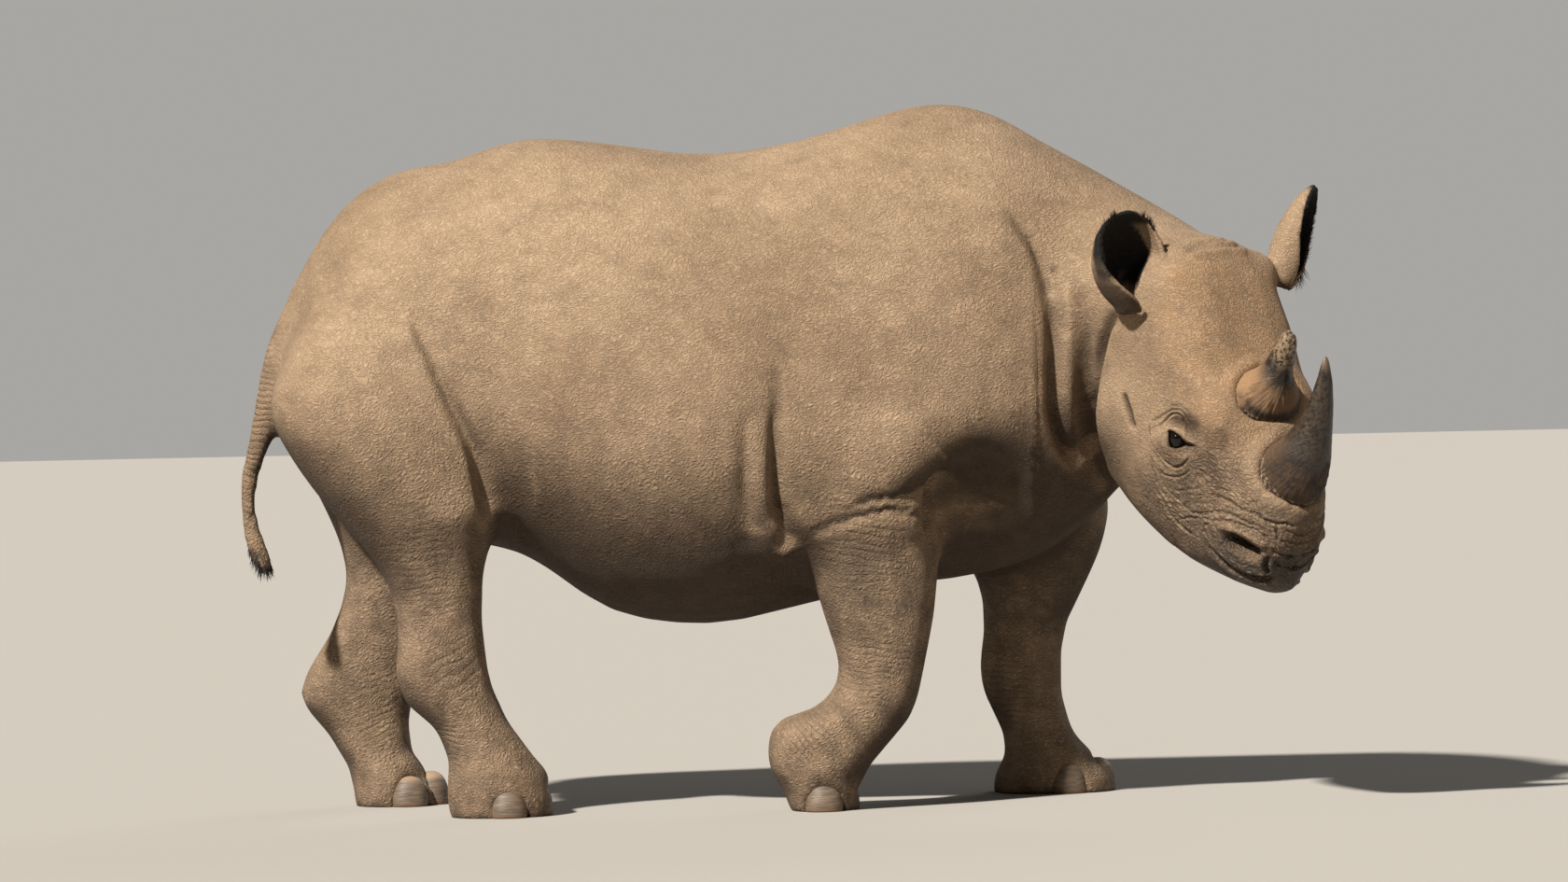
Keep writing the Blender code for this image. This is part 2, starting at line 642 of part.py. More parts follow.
# ---- Nails: three to a foot, each a rounded plate let into its toe ---------------------------
MIDDLE_NAIL = (0.040, 0.050, 0.062)
SIDE_NAIL = (0.034, 0.042, 0.056)
FEET = {
    # middle of the foot, half length and half width at the toes, degrees from middle to side nail
    "hind_foot_right": ((-0.655, -0.240), 0.106, 0.098, 74),
    "hind_foot_left": ((-0.890, 0.240), 0.096, 0.098, 74),
    "fore_foot_right": ((0.055, -0.242), 0.070, 0.098, 88),
    "fore_foot_left": ((0.580, 0.238), 0.124, 0.114, 74),
}


def make_nails(foot_name):
    (x, y), reach, half_width, apart = FEET[foot_name]
    foot = body[foot_name]
    middle_pocket = None
    for word, angle in (("middle", 0), ("left", apart), ("right", -apart)):
        sizes = MIDDLE_NAIL if word == "middle" else SIDE_NAIL
        cosine = math.cos(math.radians(angle))
        sine = math.sin(math.radians(angle))
        radius = (abs(cosine / reach) ** LEG_FULLNESS
                  + abs(sine / half_width) ** LEG_FULLNESS) ** (-1 / LEG_FULLNESS)
        depth = radius - sizes[0] + NAIL_SWELL
        place = Matrix.Translation((x + depth * cosine, y + depth * sine, 0.012))
        place @= Matrix.Rotation(math.radians(angle), 4, "Z")
        name = foot_name.replace("foot", "nail") + "_" + word
        nail = make_ball(name, place, sizes, 8, 6, parts)
        pocket = make_ball(name + "_pocket", place, [size + GAP for size in sizes], 8, 6, cutters)
        cut(nail, bpy.data.objects["below_floor"])
        cut(foot, hide_as_cutter(pocket))
        if middle_pocket:
            cut(nail, middle_pocket)
        else:
            middle_pocket = pocket
        body[name] = nail


for foot_name in FEET:
    make_nails(foot_name)


# ---- Ears: a rolled leaf, closed to a tube at its root and open to one side -------------------
EAR_THICKNESS = 0.010
EAR_DEPTH = 0.66           # hollow of the leaf, as a share of its width
# share of the length, radius, how far each edge wraps round from the back, in degrees
EAR_ROWS = [
    (0.00, 0.038, 165),
    (0.16, 0.057, 150),
    (0.34, 0.069, 128),
    (0.52, 0.072, 112),
    (0.70, 0.064, 100),
    (0.86, 0.045, 92),
    (0.96, 0.022, 88),
    (1.00, 0.006, 85),
]
EARS = {
    # length, share of the full width, root in the head's axes, ways of the tip and the opening
    "ear_right": (0.215, 1.0, (0.074, -0.176, -0.132), (-0.10, -0.26, 0.95), (0.50, -0.86, 0.05)),
    "ear_left": (0.235, 0.84, (0.083, 0.186, -0.078), (0.39, 0.10, 0.91), (0.95, -0.25, -0.15)),
}
EAR_AROUND = 10
EAR_TRIANGLES = 280
EAR_CLEAR = 0.0015         # how far the ear stands off the flesh it was cut to


def make_ear(name):
    length, fullness, root, tip_way, opening = EARS[name]
    base = head_point(*root)
    up = Vector(tip_way).normalized()
    front = Vector(opening)
    front = (front - up * front.dot(up)).normalized()
    side = up.cross(front)
    stations = spread(EAR_ROWS, 1)
    points = []
    for share, radius, wrap in stations:
        for k in range(EAR_AROUND + 1):
            angle = math.radians(wrap) * (2 * k / EAR_AROUND - 1)
            around = side * math.sin(angle) - front * (math.cos(angle) * EAR_DEPTH)
            points.append(base + up * (length * share) + around * (radius * fullness))
    width = EAR_AROUND + 1
    faces = []
    for r in range(len(stations) - 1):
        for k in range(EAR_AROUND):
            a = r * width + k
            faces.append((a, a + 1, a + width + 1, a + width))
    mesh = bpy.data.meshes.new(name)
    mesh.from_pydata([tuple(p) for p in points], [], faces)
    ear = add_object(name, mesh, parts)
    wall = ear.modifiers.new("wall", "SOLIDIFY")
    wall.thickness = EAR_THICKNESS
    wall.offset = 0.0
    ear.data = baked(ear)
    ear.modifiers.clear()
    mesh = ear.data
    solid = bmesh.new()
    solid.from_mesh(mesh)
    bmesh.ops.recalc_face_normals(solid, faces=solid.faces)
    solid.to_mesh(mesh)
    solid.free()
    simplify(ear, EAR_TRIANGLES)
    for flesh_name, way in (("head", up), ("neck", up + front)):
        flesh = body[flesh_name]
        raised = add_object(f"{name}_{flesh_name}_raised", flesh.data.copy(), cutters)
        raised.data.transform(Matrix.Translation(way * EAR_CLEAR))
        cut(ear, flesh)
        cut(ear, hide_as_cutter(raised))
    return ear


for name in EARS:
    body[name] = make_ear(name)


# ---- Finish: materials, smooth faces kept flat, and the origin under the middle ---------------
SKIN = make_material("hide", (0.34, 0.27, 0.20), 0.85)
HORN = make_material("horn", (0.10, 0.085, 0.07), 0.55)
NAIL = make_material("nail", (0.22, 0.19, 0.16), 0.60)
EYE = make_material("eye", (0.015, 0.010, 0.008), 0.10)


def finish():
    low = Vector((math.inf,) * 3)
    high = Vector((-math.inf,) * 3)
    for piece in parts.objects:
        for vertex in piece.data.vertices:
            low = Vector(map(min, low, vertex.co))
            high = Vector(map(max, high, vertex.co))
    shift = Matrix.Translation((-(low.x + high.x) / 2, -(low.y + high.y) / 2, -low.z))
    for piece in bpy.data.objects:
        piece.data.transform(shift)
    for piece in parts.objects:
        name = piece.name
        kind = HORN if "horn" in name else NAIL if "nail" in name else EYE if "eye" in name else SKIN
        piece.data.materials.clear()
        own = kind.copy()
        own.name = name + "_surface"
        piece.data.materials.append(own)
        piece.data.name = name


finish()
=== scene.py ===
import math
import bmesh
import bpy
import numpy as np
from mathutils import Matrix, Vector, kdtree


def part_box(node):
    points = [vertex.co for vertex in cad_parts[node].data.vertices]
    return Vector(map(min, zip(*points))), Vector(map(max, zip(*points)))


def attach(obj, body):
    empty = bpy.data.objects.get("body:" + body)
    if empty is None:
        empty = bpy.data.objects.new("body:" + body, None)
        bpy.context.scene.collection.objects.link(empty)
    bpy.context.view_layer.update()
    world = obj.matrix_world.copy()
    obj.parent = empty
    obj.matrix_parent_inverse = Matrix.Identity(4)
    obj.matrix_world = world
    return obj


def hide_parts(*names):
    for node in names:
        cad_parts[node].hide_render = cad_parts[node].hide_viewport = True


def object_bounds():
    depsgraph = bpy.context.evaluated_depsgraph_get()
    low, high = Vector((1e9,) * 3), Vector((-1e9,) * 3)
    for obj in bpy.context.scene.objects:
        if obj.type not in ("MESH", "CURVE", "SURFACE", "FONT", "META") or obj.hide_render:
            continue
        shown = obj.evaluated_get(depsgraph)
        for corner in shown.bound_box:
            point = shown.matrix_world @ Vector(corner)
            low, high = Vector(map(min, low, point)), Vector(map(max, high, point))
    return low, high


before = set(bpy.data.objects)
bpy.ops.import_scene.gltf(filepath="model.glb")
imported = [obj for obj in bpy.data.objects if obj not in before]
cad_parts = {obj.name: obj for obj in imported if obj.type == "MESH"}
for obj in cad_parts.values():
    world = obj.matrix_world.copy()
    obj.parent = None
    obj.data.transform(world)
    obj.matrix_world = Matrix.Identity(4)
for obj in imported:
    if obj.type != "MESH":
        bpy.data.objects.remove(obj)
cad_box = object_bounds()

# ---- The body's form --------------------------------------------------------------------------
# The hide of a rhinoceros is one unbroken skin over head, neck, trunk, tail and legs. The pieces
# of flesh are brought together into one closed form here, and eased until no cut shows.
SIDES = ("right", "left")
FLESH = ["head", "neck", "trunk", "tail", "tail_tip"]
for side in SIDES:
    FLESH += ["foreleg_" + side, "hind_leg_" + side]
    FLESH += [f"{pair}_{length}_{side}" for pair in ("fore", "hind") for length in ("shank", "foot")]
FORM_GRAIN = 0.011
HIDE_GRAIN = 0.0052
HIDE_TRIANGLES = 192000


def deselect_all():
    for thing in bpy.context.selected_objects:
        thing.select_set(False)


def make_active(thing):
    deselect_all()
    thing.select_set(True)
    bpy.context.view_layer.objects.active = thing


def copy_of(node, name):
    """A free copy of a node's mesh, its loose triangles merged into one closed surface."""
    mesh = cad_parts[node].data.copy()
    mesh.name = name
    solid = bmesh.new()
    solid.from_mesh(mesh)
    bmesh.ops.remove_doubles(solid, verts=solid.verts, dist=0.00002)
    solid.to_mesh(mesh)
    solid.free()
    copy = bpy.data.objects.new(name, mesh)
    bpy.context.scene.collection.objects.link(copy)
    return copy


def join_all(things, name):
    make_active(things[0])
    for thing in things:
        thing.select_set(True)
    bpy.ops.object.join()
    things[0].name = name
    return things[0]


def apply_all(thing):
    make_active(thing)
    for step in list(thing.modifiers):
        bpy.ops.object.modifier_apply(modifier=step.name)


def remesh(thing, grain):
    tool = thing.modifiers.new("grain", "REMESH")
    tool.mode = "VOXEL"
    tool.voxel_size = grain
    tool.use_smooth_shade = True
    apply_all(thing)


def ease(thing, rounds, group=""):
    tool = thing.modifiers.new("ease", "SMOOTH")
    tool.factor = 0.5
    tool.iterations = rounds
    tool.vertex_group = group
    apply_all(thing)


def points_of(thing):
    flat = np.empty(len(thing.data.vertices) * 3)
    thing.data.vertices.foreach_get("co", flat)
    return flat.reshape(-1, 3)


def normals_of(thing):
    flat = np.empty(len(thing.data.vertices) * 3)
    thing.data.vertex_normals.foreach_get("vector", flat)
    return flat.reshape(-1, 3)


def move_to(thing, points):
    thing.data.vertices.foreach_set("co", np.ascontiguousarray(points).ravel())
    thing.data.update()


def ramp(values, start, end):
    """0 before start, 1 after end, smooth between; start may lie above end."""
    share = np.clip((values - start) / (end - start), 0.0, 1.0)
    return share * share * (3.0 - 2.0 * share)


def weigh(thing, name, weights):
    """Stores a weight for every vertex, as a group that modifiers read."""
    group = thing.vertex_groups.new(name=name)
    for level in range(11):
        chosen = np.nonzero(np.round(weights * 10) == level)[0]
        if level and len(chosen):
            group.add(chosen.tolist(), level / 10, "REPLACE")
    return name


def centre_of(node):
    low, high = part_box(node)
    return (Vector(low) + Vector(high)) / 2


# The head has axes of its own: x down the face, y to its left, z out of the forehead.
HEAD_TURN, HEAD_DROP, HEAD_TILT = math.radians(-47), math.radians(61), math.radians(8)
EYE_ALONG, EYE_UP = 0.362, -0.200
head_axes = Matrix.Rotation(HEAD_TURN, 4, "Z") @ Matrix.Rotation(HEAD_DROP, 4, "Y")
head_axes = head_axes @ Matrix.Rotation(HEAD_TILT, 4, "X")
poll = (centre_of("eye_right") + centre_of("eye_left")) / 2
poll = poll - head_axes.to_3x3() @ Vector((EYE_ALONG, 0, EYE_UP))
head_turned = np.array(head_axes.to_3x3())


def in_head(points):
    return (points - np.array(poll)) @ head_turned


def from_head(points):
    return points @ head_turned.T + np.array(poll)


eye_bulges = [copy_of("eye_" + side, "eye_bulge_" + side) for side in SIDES]
hide = join_all([copy_of(node, "flesh_" + node) for node in FLESH] + eye_bulges, "hide")
hide.data.materials.clear()
remesh(hide, FORM_GRAIN)
p = points_of(hide)
slab = ramp(p[:, 2], 0.42, 0.60) * ramp(p[:, 0], -1.14, -1.06) * ramp(p[:, 0], 0.92, 0.78)
weigh(hide, "slab", slab)
ease(hide, 55, "slab")
ease(hide, 7)
hide.vertex_groups.clear()
swollen = normals_of(hide) * (0.0015 + 0.0025 * ramp(p[:, 2], 0.7, 0.3))[:, None]
p = points_of(hide) + swollen
on_tail = ramp(p[:, 0], -1.085, -1.105) * ramp(p[:, 2], 1.15, 1.08)
p = p + normals_of(hide) * (0.003 * on_tail)[:, None]
p[:, 0] += 0.003 * on_tail
move_to(hide, p)

# ---- Ears: a rolled leaf of gristle, part of the same skin -------------------------------------
# Each is a tube at its root that opens into a cupped leaf, pale outside and nearly black inside: painted
# shade in the hollow, black hair at its rim and tip.
EAR_WALL = 0.011
EAR_ROWS = [
    # share of the length, radius, how far each edge wraps round from the back (degrees), hollow
    (0.00, 0.036, 168, 0.90),
    (0.10, 0.046, 160, 0.90),
    (0.22, 0.058, 146, 0.88),
    (0.36, 0.068, 128, 0.80),
    (0.52, 0.073, 112, 0.74),
    (0.68, 0.070, 102, 0.66),
    (0.82, 0.060, 95, 0.58),
    (0.92, 0.044, 90, 0.50),
    (1.00, 0.016, 88, 0.40),
]
EARS = {
    # length, share of the full width, root in the head's axes, ways of the tip and the opening
    "right": (0.214, 1.16, (0.070, -0.176, -0.134), (-0.11, -0.26, 0.95), (0.58, -0.80, 0.05)),
    "left": (0.234, 0.80, (0.081, 0.186, -0.080), (0.39, 0.10, 0.91), (0.95, -0.25, -0.15)),
}
EAR_STEPS, EAR_AROUND = 34, 36


def ear_frame(side):
    length, _, root, tip_way, opening = EARS[side]
    base = Vector(from_head(np.array([root]))[0])
    up = Vector(tip_way).normalized()
    front = Vector(opening)
    front = (front - up * front.dot(up)).normalized()
    return length, base, up, front, up.cross(front)


def ear_row(share):
    """Radius, wrap and hollow at one share of an ear's length, or at many."""
    rows = np.array(EAR_ROWS)
    return [np.interp(share, rows[:, 0], rows[:, column]) for column in (1, 2, 3)]


def ear_point(side, share, turn):
    """A point of the leaf: share of its length, and turn from -1 to 1 between its two edges."""
    length, base, up, front, across = ear_frame(side)
    radius, wrap, hollow = ear_row(share)
    radius *= EARS[side][1]
    angle = math.radians(wrap) * turn
    out = across * math.sin(angle) - front * (math.cos(angle) * hollow)
    return base + up * (length * share) + out * radius


def face_outwards(thing, merge=0.0):
    """Points all faces outwards, after close points are merged where merge is given."""
    make_active(thing)
    bpy.ops.object.mode_set(mode="EDIT")
    bpy.ops.mesh.select_all(action="SELECT")
    if merge:
        bpy.ops.mesh.remove_doubles(threshold=merge)
    bpy.ops.mesh.normals_make_consistent(inside=False)
    bpy.ops.object.mode_set(mode="OBJECT")


def make_ear(side):
    verts = []
    for r in range(EAR_STEPS + 1):
        share = (r / EAR_STEPS) ** 0.85
        for k in range(EAR_AROUND + 1):
            verts.append(ear_point(side, share, 2 * k / EAR_AROUND - 1))
    width = EAR_AROUND + 1
    faces = [(r * width + k, r * width + k + 1, (r + 1) * width + k + 1, (r + 1) * width + k)
             for r in range(EAR_STEPS) for k in range(EAR_AROUND)]
    mesh = bpy.data.meshes.new("ear_leaf_" + side)
    mesh.from_pydata([tuple(v) for v in verts], [], faces)
    leaf = bpy.data.objects.new("ear_leaf_" + side, mesh)
    bpy.context.scene.collection.objects.link(leaf)
    wall = leaf.modifiers.new("wall", "SOLIDIFY")
    wall.thickness = EAR_WALL
    wall.offset = 0.0
    apply_all(leaf)
    face_outwards(leaf)
    return leaf


hide = join_all([hide] + [make_ear(side) for side in SIDES], "hide")
remesh(hide, HIDE_GRAIN)
ease(hide, 3)

# ---- Folds of the body -------------------------------------------------------------------------
# The thick hide hangs in folds where the legs and the neck bend. Each fold is pressed in along a
# line laid on the skin, with the skin beside it raised; a mask keeps the painted shade that darkens each
# fold.
BODY_MIDDLE = 0.147
LAYER = 0.03               # skin further in than this lies behind the outermost


def refine(thing, chosen):
    """Halves the faces whose corners are all chosen, for finer modelling."""
    make_active(thing)
    bpy.ops.object.mode_set(mode="EDIT")
    bpy.ops.mesh.select_all(action="DESELECT")
    bpy.ops.object.mode_set(mode="OBJECT")
    thing.data.vertices.foreach_set("select", chosen)
    corners = np.empty(len(thing.data.loops), dtype=np.int32)
    thing.data.loops.foreach_get("vertex_index", corners)
    starts = np.empty(len(thing.data.polygons), dtype=np.int32)
    thing.data.polygons.foreach_get("loop_start", starts)
    thing.data.polygons.foreach_set("select", np.logical_and.reduceat(chosen[corners], starts))
    bpy.ops.object.mode_set(mode="EDIT")
    bpy.ops.mesh.select_mode(type="FACE")
    bpy.ops.mesh.subdivide(number_cuts=1, smoothness=0.0)
    bpy.ops.object.mode_set(mode="OBJECT")


p = points_of(hide)
h = in_head(p)
beside_eye = np.hypot(h[:, 0] - EYE_ALONG, h[:, 2] - EYE_UP)
on_head = (np.abs(h[:, 1]) < 0.19) & (h[:, 2] > -0.56) & (h[:, 0] > 0.2) & (h[:, 0] < 0.80)
refine(hide, on_head & ((h[:, 0] > 0.40) | (beside_eye < 0.085)))
p = points_of(hide)
h = in_head(p)
beside_eye = np.hypot(h[:, 0] - EYE_ALONG, h[:, 2] - EYE_UP)
refine(hide, (beside_eye < 0.050) & (np.abs(h[:, 1]) > 0.10) & (np.abs(h[:, 1]) < 0.20) & (h[:, 0] > 0.2))

p = points_of(hide)
n = normals_of(hide)
lift = np.zeros(len(p))
fold_shade = np.zeros(len(p))


def tree_of(points):
    tree = kdtree.KDTree(len(points))
    for index, place in enumerate(points):
        tree.insert(place, index)
    tree.balance()
    return tree


def smooth_line(line, steps=8):
    """The same line with its corners rounded."""
    line = np.array(line, dtype=float)
    ends = np.vstack([2 * line[0] - line[1], line, 2 * line[-1] - line[-2]])
    out = []
    for a, b, c, d in zip(ends[:-3], ends[1:-2], ends[2:-1], ends[3:]):
        for k in range(steps):
            t = k / steps
            out.append(0.5 * (2 * b + (c - a) * t + (2 * a - 5 * b + 4 * c - d) * t * t
                              + (3 * b - a - 3 * c + d) * t ** 3))
    out.append(line[-1])
    return np.array(out)


def lay_on(own, line, way, reach):
    """A line given along and up the body, laid on the outermost of the points it may use."""
    laid = []
    for x, z in smooth_line(line):
        near = own[(np.abs(p[own, 0] - x) < reach) & (np.abs(p[own, 2] - z) < reach)]
        if len(near):
            outward = p[near, 1] * way
            near = near[outward > outward.max() - LAYER]
            laid.append(near[np.argmin((p[near, 0] - x) ** 2 + (p[near, 2] - z) ** 2)])
    return laid


def on_flank(line, side):
    """The same on the right or left flank."""
    way = -1 if side == "right" else 1
    own = np.nonzero(((p[:, 1] - BODY_MIDDLE) * way > -0.02) & (n[:, 1] * way > -0.3))[0]
    return lay_on(own, line, way, 0.010)


def on_face(line, side=-1):
    """A line given in the head's axes, laid on the nearest skin of one side."""
    line = smooth_line(np.array(line) * (1, side * -1, 1))
    return [tree.find(place)[1] for place in from_head(line)]


def waver(places):
    """A small shift of each place, so that no fold runs quite true."""
    return (0.0022 * np.sin(places[:, [1, 2, 0]] * 190 + 1.0) * np.cos(places[:, [2, 0, 1]] * 130)
            + 0.0012 * np.sin(places[:, [2, 0, 1]] * 420))


def press(laid, width, depth, lip=0.0, overlap=0.0, shade_strength=1.0, wavy=0.15):
    """Presses a groove along a laid line; overlap raises the skin on its left and lowers its right."""
    global lift, fold_shade
    width = np.broadcast_to(width, 2)
    if len(set(laid)) < 3:
        print("a fold misses the skin")
        return
    line = p[laid]
    for _ in range(4):
        line[1:-1] = (line[:-2] + 2 * line[1:-1] + line[2:]) / 4
    steps = np.linalg.norm(np.diff(line, axis=0), axis=1)
    whole = steps.sum()
    reach = width.max() * 5 + 0.01
    near = np.nonzero(np.all((p > line.min(0) - reach) & (p < line.max(0) + reach), axis=1))[0]
    q = p[near] + wavy * waver(p[near])
    best = np.full(len(near), 9.0)
    share = np.zeros(len(near))
    left = np.zeros(len(near))
    run = 0.0
    for i, (a, b) in enumerate(zip(line[:-1], line[1:])):
        step = b - a
        size = step @ step
        if size < 1e-10:
            continue
        t = np.clip(((q - a) @ step) / size, 0, 1)
        gap = q - a - t[:, None] * step
        away = np.linalg.norm(gap, axis=1)
        closer = away < best
        best[closer] = away[closer]
        share[closer] = (run + t[closer] * math.sqrt(size)) / whole
        left[closer] = (gap @ np.cross(n[laid[i]], step / math.sqrt(size)))[closer]
        run += math.sqrt(size)
    fade = ramp(share, 0.0, 0.12) * ramp(share, 1.0, 0.88)
    facing = ramp((n[near] @ n[laid].mean(0)), -0.1, 0.3)
    fade = fade * facing
    w = width[0] + (width[1] - width[0]) * share
    d = np.interp(share, np.linspace(0, 1, len(np.atleast_1d(depth))), np.atleast_1d(depth))
    groove = np.exp(-(best / w) ** 2)
    lift[near] += fade * (-d * groove + lip * np.exp(-((best - 2.1 * w) / (1.2 * w)) ** 2))
    lift[near] += fade * overlap * np.tanh(left / w) * np.exp(-best / (4 * w))
    # painted shade: the groove's mask darkens the hide's colour along the fold
    fold_shade[near] = np.maximum(fold_shade[near], shade_strength * fade * np.exp(-(best / (0.9 * w)) ** 2))


def swell(centre, reach, amount, facing=None):
    """Raises (or sinks) a soft round patch of skin."""
    global lift
    strength = np.exp(-(((p - np.array(centre)) / np.array(reach)) ** 2).sum(axis=1))
    if facing is not None:
        strength = strength * ramp(n @ np.array(facing), 0.0, 0.4)
    lift += amount * strength


def settle():
    """Moves the skin by all that has been pressed and raised so far."""
    global p, n, lift
    move_to(hide, p + n * lift[:, None])
    p = points_of(hide)
    n = normals_of(hide)
    lift = np.zeros(len(p))


def seen(line):
    """The same on the skin of head and neck that faces the right side."""
    return lay_on(facing_right, line, -1, 0.008)


def mirrored(laid):
    """The same line on the other side of the face."""
    return [tree.find(place)[1] for place in from_head(in_head(p[laid]) * (1, -1, 1))]


def on_cheek(line, side):
    """The same on either side of the face, alike on both."""
    laid = seen(line)
    return laid if side == "right" else mirrored(laid)


tree = tree_of(p)
facing_right = np.nonzero((p[:, 0] > 0.45) & (n[:, 1] < 0.35) & (p[:, 2] > 0.4))[0]

for side, way in (("right", -1), ("left", 1)):
    # the thigh lies over the flank, from the hip down to the groin
    press(on_flank([(-0.812, 1.115), (-0.767, 1.027), (-0.731, 0.944), (-0.685, 0.845),
                    (-0.656, 0.766), (-0.645, 0.640)], side),
          (0.012, 0.020), (0.004, 0.010, 0.020, 0.026), overlap=way * 0.012, shade_strength=0.35)

# flap of skin behind the elbow
press(on_flank([(-0.076, 0.900), (-0.076, 0.790), (-0.074, 0.700), (-0.066, 0.640),
                (-0.048, 0.600)], "right"),
      (0.018, 0.014), (0.000, 0.006, 0.012, 0.010, 0.000), overlap=-0.005, shade_strength=0.2)
press(on_flank([(0.002, 1.000), (0.001, 0.893), (-0.003, 0.800), (-0.004, 0.706), (0.012, 0.630),
                (0.050, 0.570)], "right"), (0.014, 0.018), (0.000, 0.012, 0.026, 0.030, 0.004),
      overlap=0.006, shade_strength=0.5)
swell((-0.036, -0.30, 0.69), (0.026, 0.20, 0.110), 0.016, (0, -1, 0))
press(on_flank([(0.235, 0.900), (0.232, 0.800), (0.240, 0.700), (0.265, 0.620)], "left"),
      (0.012, 0.018), (0.006, 0.020, 0.030), overlap=-0.006, shade_strength=0.4)

# folds of the neck: a long roll from behind the ear down to the throat, and the cheek over it
press(seen([(0.500, 1.330), (0.535, 1.270), (0.570, 1.215), (0.593, 1.133), (0.608, 1.051), (0.610, 0.948),
            (0.613, 0.866), (0.632, 0.793), (0.672, 0.730)]),
      (0.014, 0.022), (0.002, 0.006, 0.014, 0.030, 0.038, 0.034), overlap=-0.006, shade_strength=0.6)
press(seen([(0.655, 1.152), (0.669, 1.070), (0.672, 0.988), (0.670, 0.906), (0.676, 0.823), (0.695, 0.739)]),
      (0.012, 0.018), (0.004, 0.016, 0.022, 0.022), overlap=-0.006, shade_strength=0.4)
press(seen([(0.560, 1.260), (0.590, 1.180), (0.606, 1.110)]), 0.009, 0.005, shade_strength=0.3)
press(seen([(0.610, 1.190), (0.628, 1.110), (0.636, 1.020)]), 0.009, 0.006, shade_strength=0.3)
swell((0.640, -0.20, 0.960), (0.026, 0.20, 0.170), 0.016, (0, -1, 0))
cheek = seen([(0.740, 1.100), (0.728, 1.060), (0.712, 1.008), (0.697, 0.947), (0.688, 0.864), (0.696, 0.801),
              (0.712, 0.738), (0.745, 0.682)])
press(cheek, (0.016, 0.022), (0.004, 0.024, 0.036, 0.040, 0.030), overlap=0.016, shade_strength=0.5)
press(mirrored(cheek), (0.014, 0.018), (0.004, 0.014, 0.020, 0.018), overlap=-0.008, shade_strength=0.4)
# wrinkles across the nape, from ear to ear behind the poll
for back, half in ((0.012, 0.10), (0.034, 0.12), (0.058, 0.10)):
    nape = [(-back, -half, 0.01), (-back - 0.010, -0.5 * half, 0.05), (-back - 0.012, 0.0, 0.06),
            (-back - 0.010, 0.5 * half, 0.05), (-back, half, 0.01)]
    press(on_face(nape), 0.0075, 0.0055, lip=0.003, shade_strength=0.35, wavy=0.5)
for side in (-1, 1):
    # a short deep slot in the cheek, behind and above the eye
    press(on_face([(0.205, -0.180, -0.270), (0.232, -0.182, -0.276), (0.258, -0.182, -0.282),
                   (0.288, -0.180, -0.290)], side), 0.0080, (0.004, 0.013, 0.010), shade_strength=1.3)

# the shoulder overhangs the chest, which lies further in behind the forelegs
press(on_flank([(0.143, 0.665), (0.255, 0.673), (0.379, 0.720), (0.504, 0.757)], "right"),
      (0.034, 0.034), (0.004, 0.012, 0.014, 0.004), shade_strength=0.15)
swell((0.455, -0.26, 0.655), (0.120, 0.20, 0.105), -0.078, (0, -1, 0))
press(on_flank([(0.400, 0.750), (0.362, 0.705), (0.345, 0.650), (0.340, 0.600)], "right"),
      0.020, (0.004, 0.020, 0.026, 0.010), overlap=-0.010, shade_strength=0.35)
# the skin bunches where the forearm leaves the shoulder
press(on_flank([(0.0505, 0.600), (0.120, 0.632), (0.232, 0.654), (0.327, 0.634)], "right"),
      0.010, (0.001, 0.004, 0.005, 0.004), lip=0.001, shade_strength=0.2, wavy=1.5)
press(on_flank([(0.130, 0.655), (0.200, 0.680), (0.290, 0.690), (0.350, 0.715)], "right"),
      0.008, (0.001, 0.003, 0.003, 0.001), lip=0.001, shade_strength=0.2, wavy=1.5)
swell((0.010, -0.30, 0.585), (0.024, 0.20, 0.032), -0.014, (0, -1, 0))
swell((0.400, -0.28, 0.830), (0.160, 0.20, 0.070), 0.008, (0, -1, 0))

# the skin stands up in an uneven collar round each horn, highest on the brow's side
h = in_head(p)
for along, long_half, wide_half, height in ((0.539, 0.078, 0.080, 0.009), (0.358, 0.067, 0.087, 0.009)):
    around = np.arctan2(h[:, 1] / wide_half, (h[:, 0] - along) / long_half)
    out = np.hypot((h[:, 0] - along) / long_half, h[:, 1] / wide_half)
    out = out + 0.03 * np.sin(around * 5 + along * 40) + 0.02 * np.sin(around * 11)
    collar = ramp(out, 1.50, 1.02) * (h[:, 2] > -0.16) * (0.75 - 0.35 * np.cos(around))
    lift += height * collar

# stifle, hocks, knees and the fold in front of the near hock
swell((-0.690, -0.26, 0.650), (0.060, 0.12, 0.060), 0.012, (0, -1, 0))
swell((-0.800, -0.16, 0.345), (0.040, 0.10, 0.050), 0.006)
settle()

# ---- Face: eyelids, nostrils, mouth and the wrinkles round them ---------------------------------
# The lids are thick and ringed with folds. The nostril is a wide comma under a smooth rim, and the
# pointed upper lip hangs over the lower one.
EYEBALL = 0.0205
LID = 0.0040
EYE_SINK = 0.0130          # height of the facet round the eye over the eyeball's middle
EYE_OPENING = [(-0.018, 0.016), (-0.013, 0.017), (-0.005, 0.013), (0.003, 0.007), (0.009, 0.000),
               (0.016, -0.007), (0.026, -0.012), (0.038, -0.0165), (0.026, -0.0175), (0.015, -0.016),
               (0.005, -0.020), (-0.007, -0.021), (-0.014, -0.017), (-0.018, -0.008), (-0.019, 0.005)]


def other_side(way):
    """The mirror image, across the head's middle plane, of a direction."""
    return ((np.array(way) @ head_turned) * (1, -1, 1)) @ head_turned.T


eye_centres = {side: np.array(centre_of("eye_" + side)) for side in SIDES}
square_on = ((1, 0, 0), (0, 0, 1), (0, -1, 0))      # along the opening, up it and out of it
eye_axes = {"right": [np.array(way, dtype=float) for way in square_on],
            "left": [other_side(way) for way in square_on]}


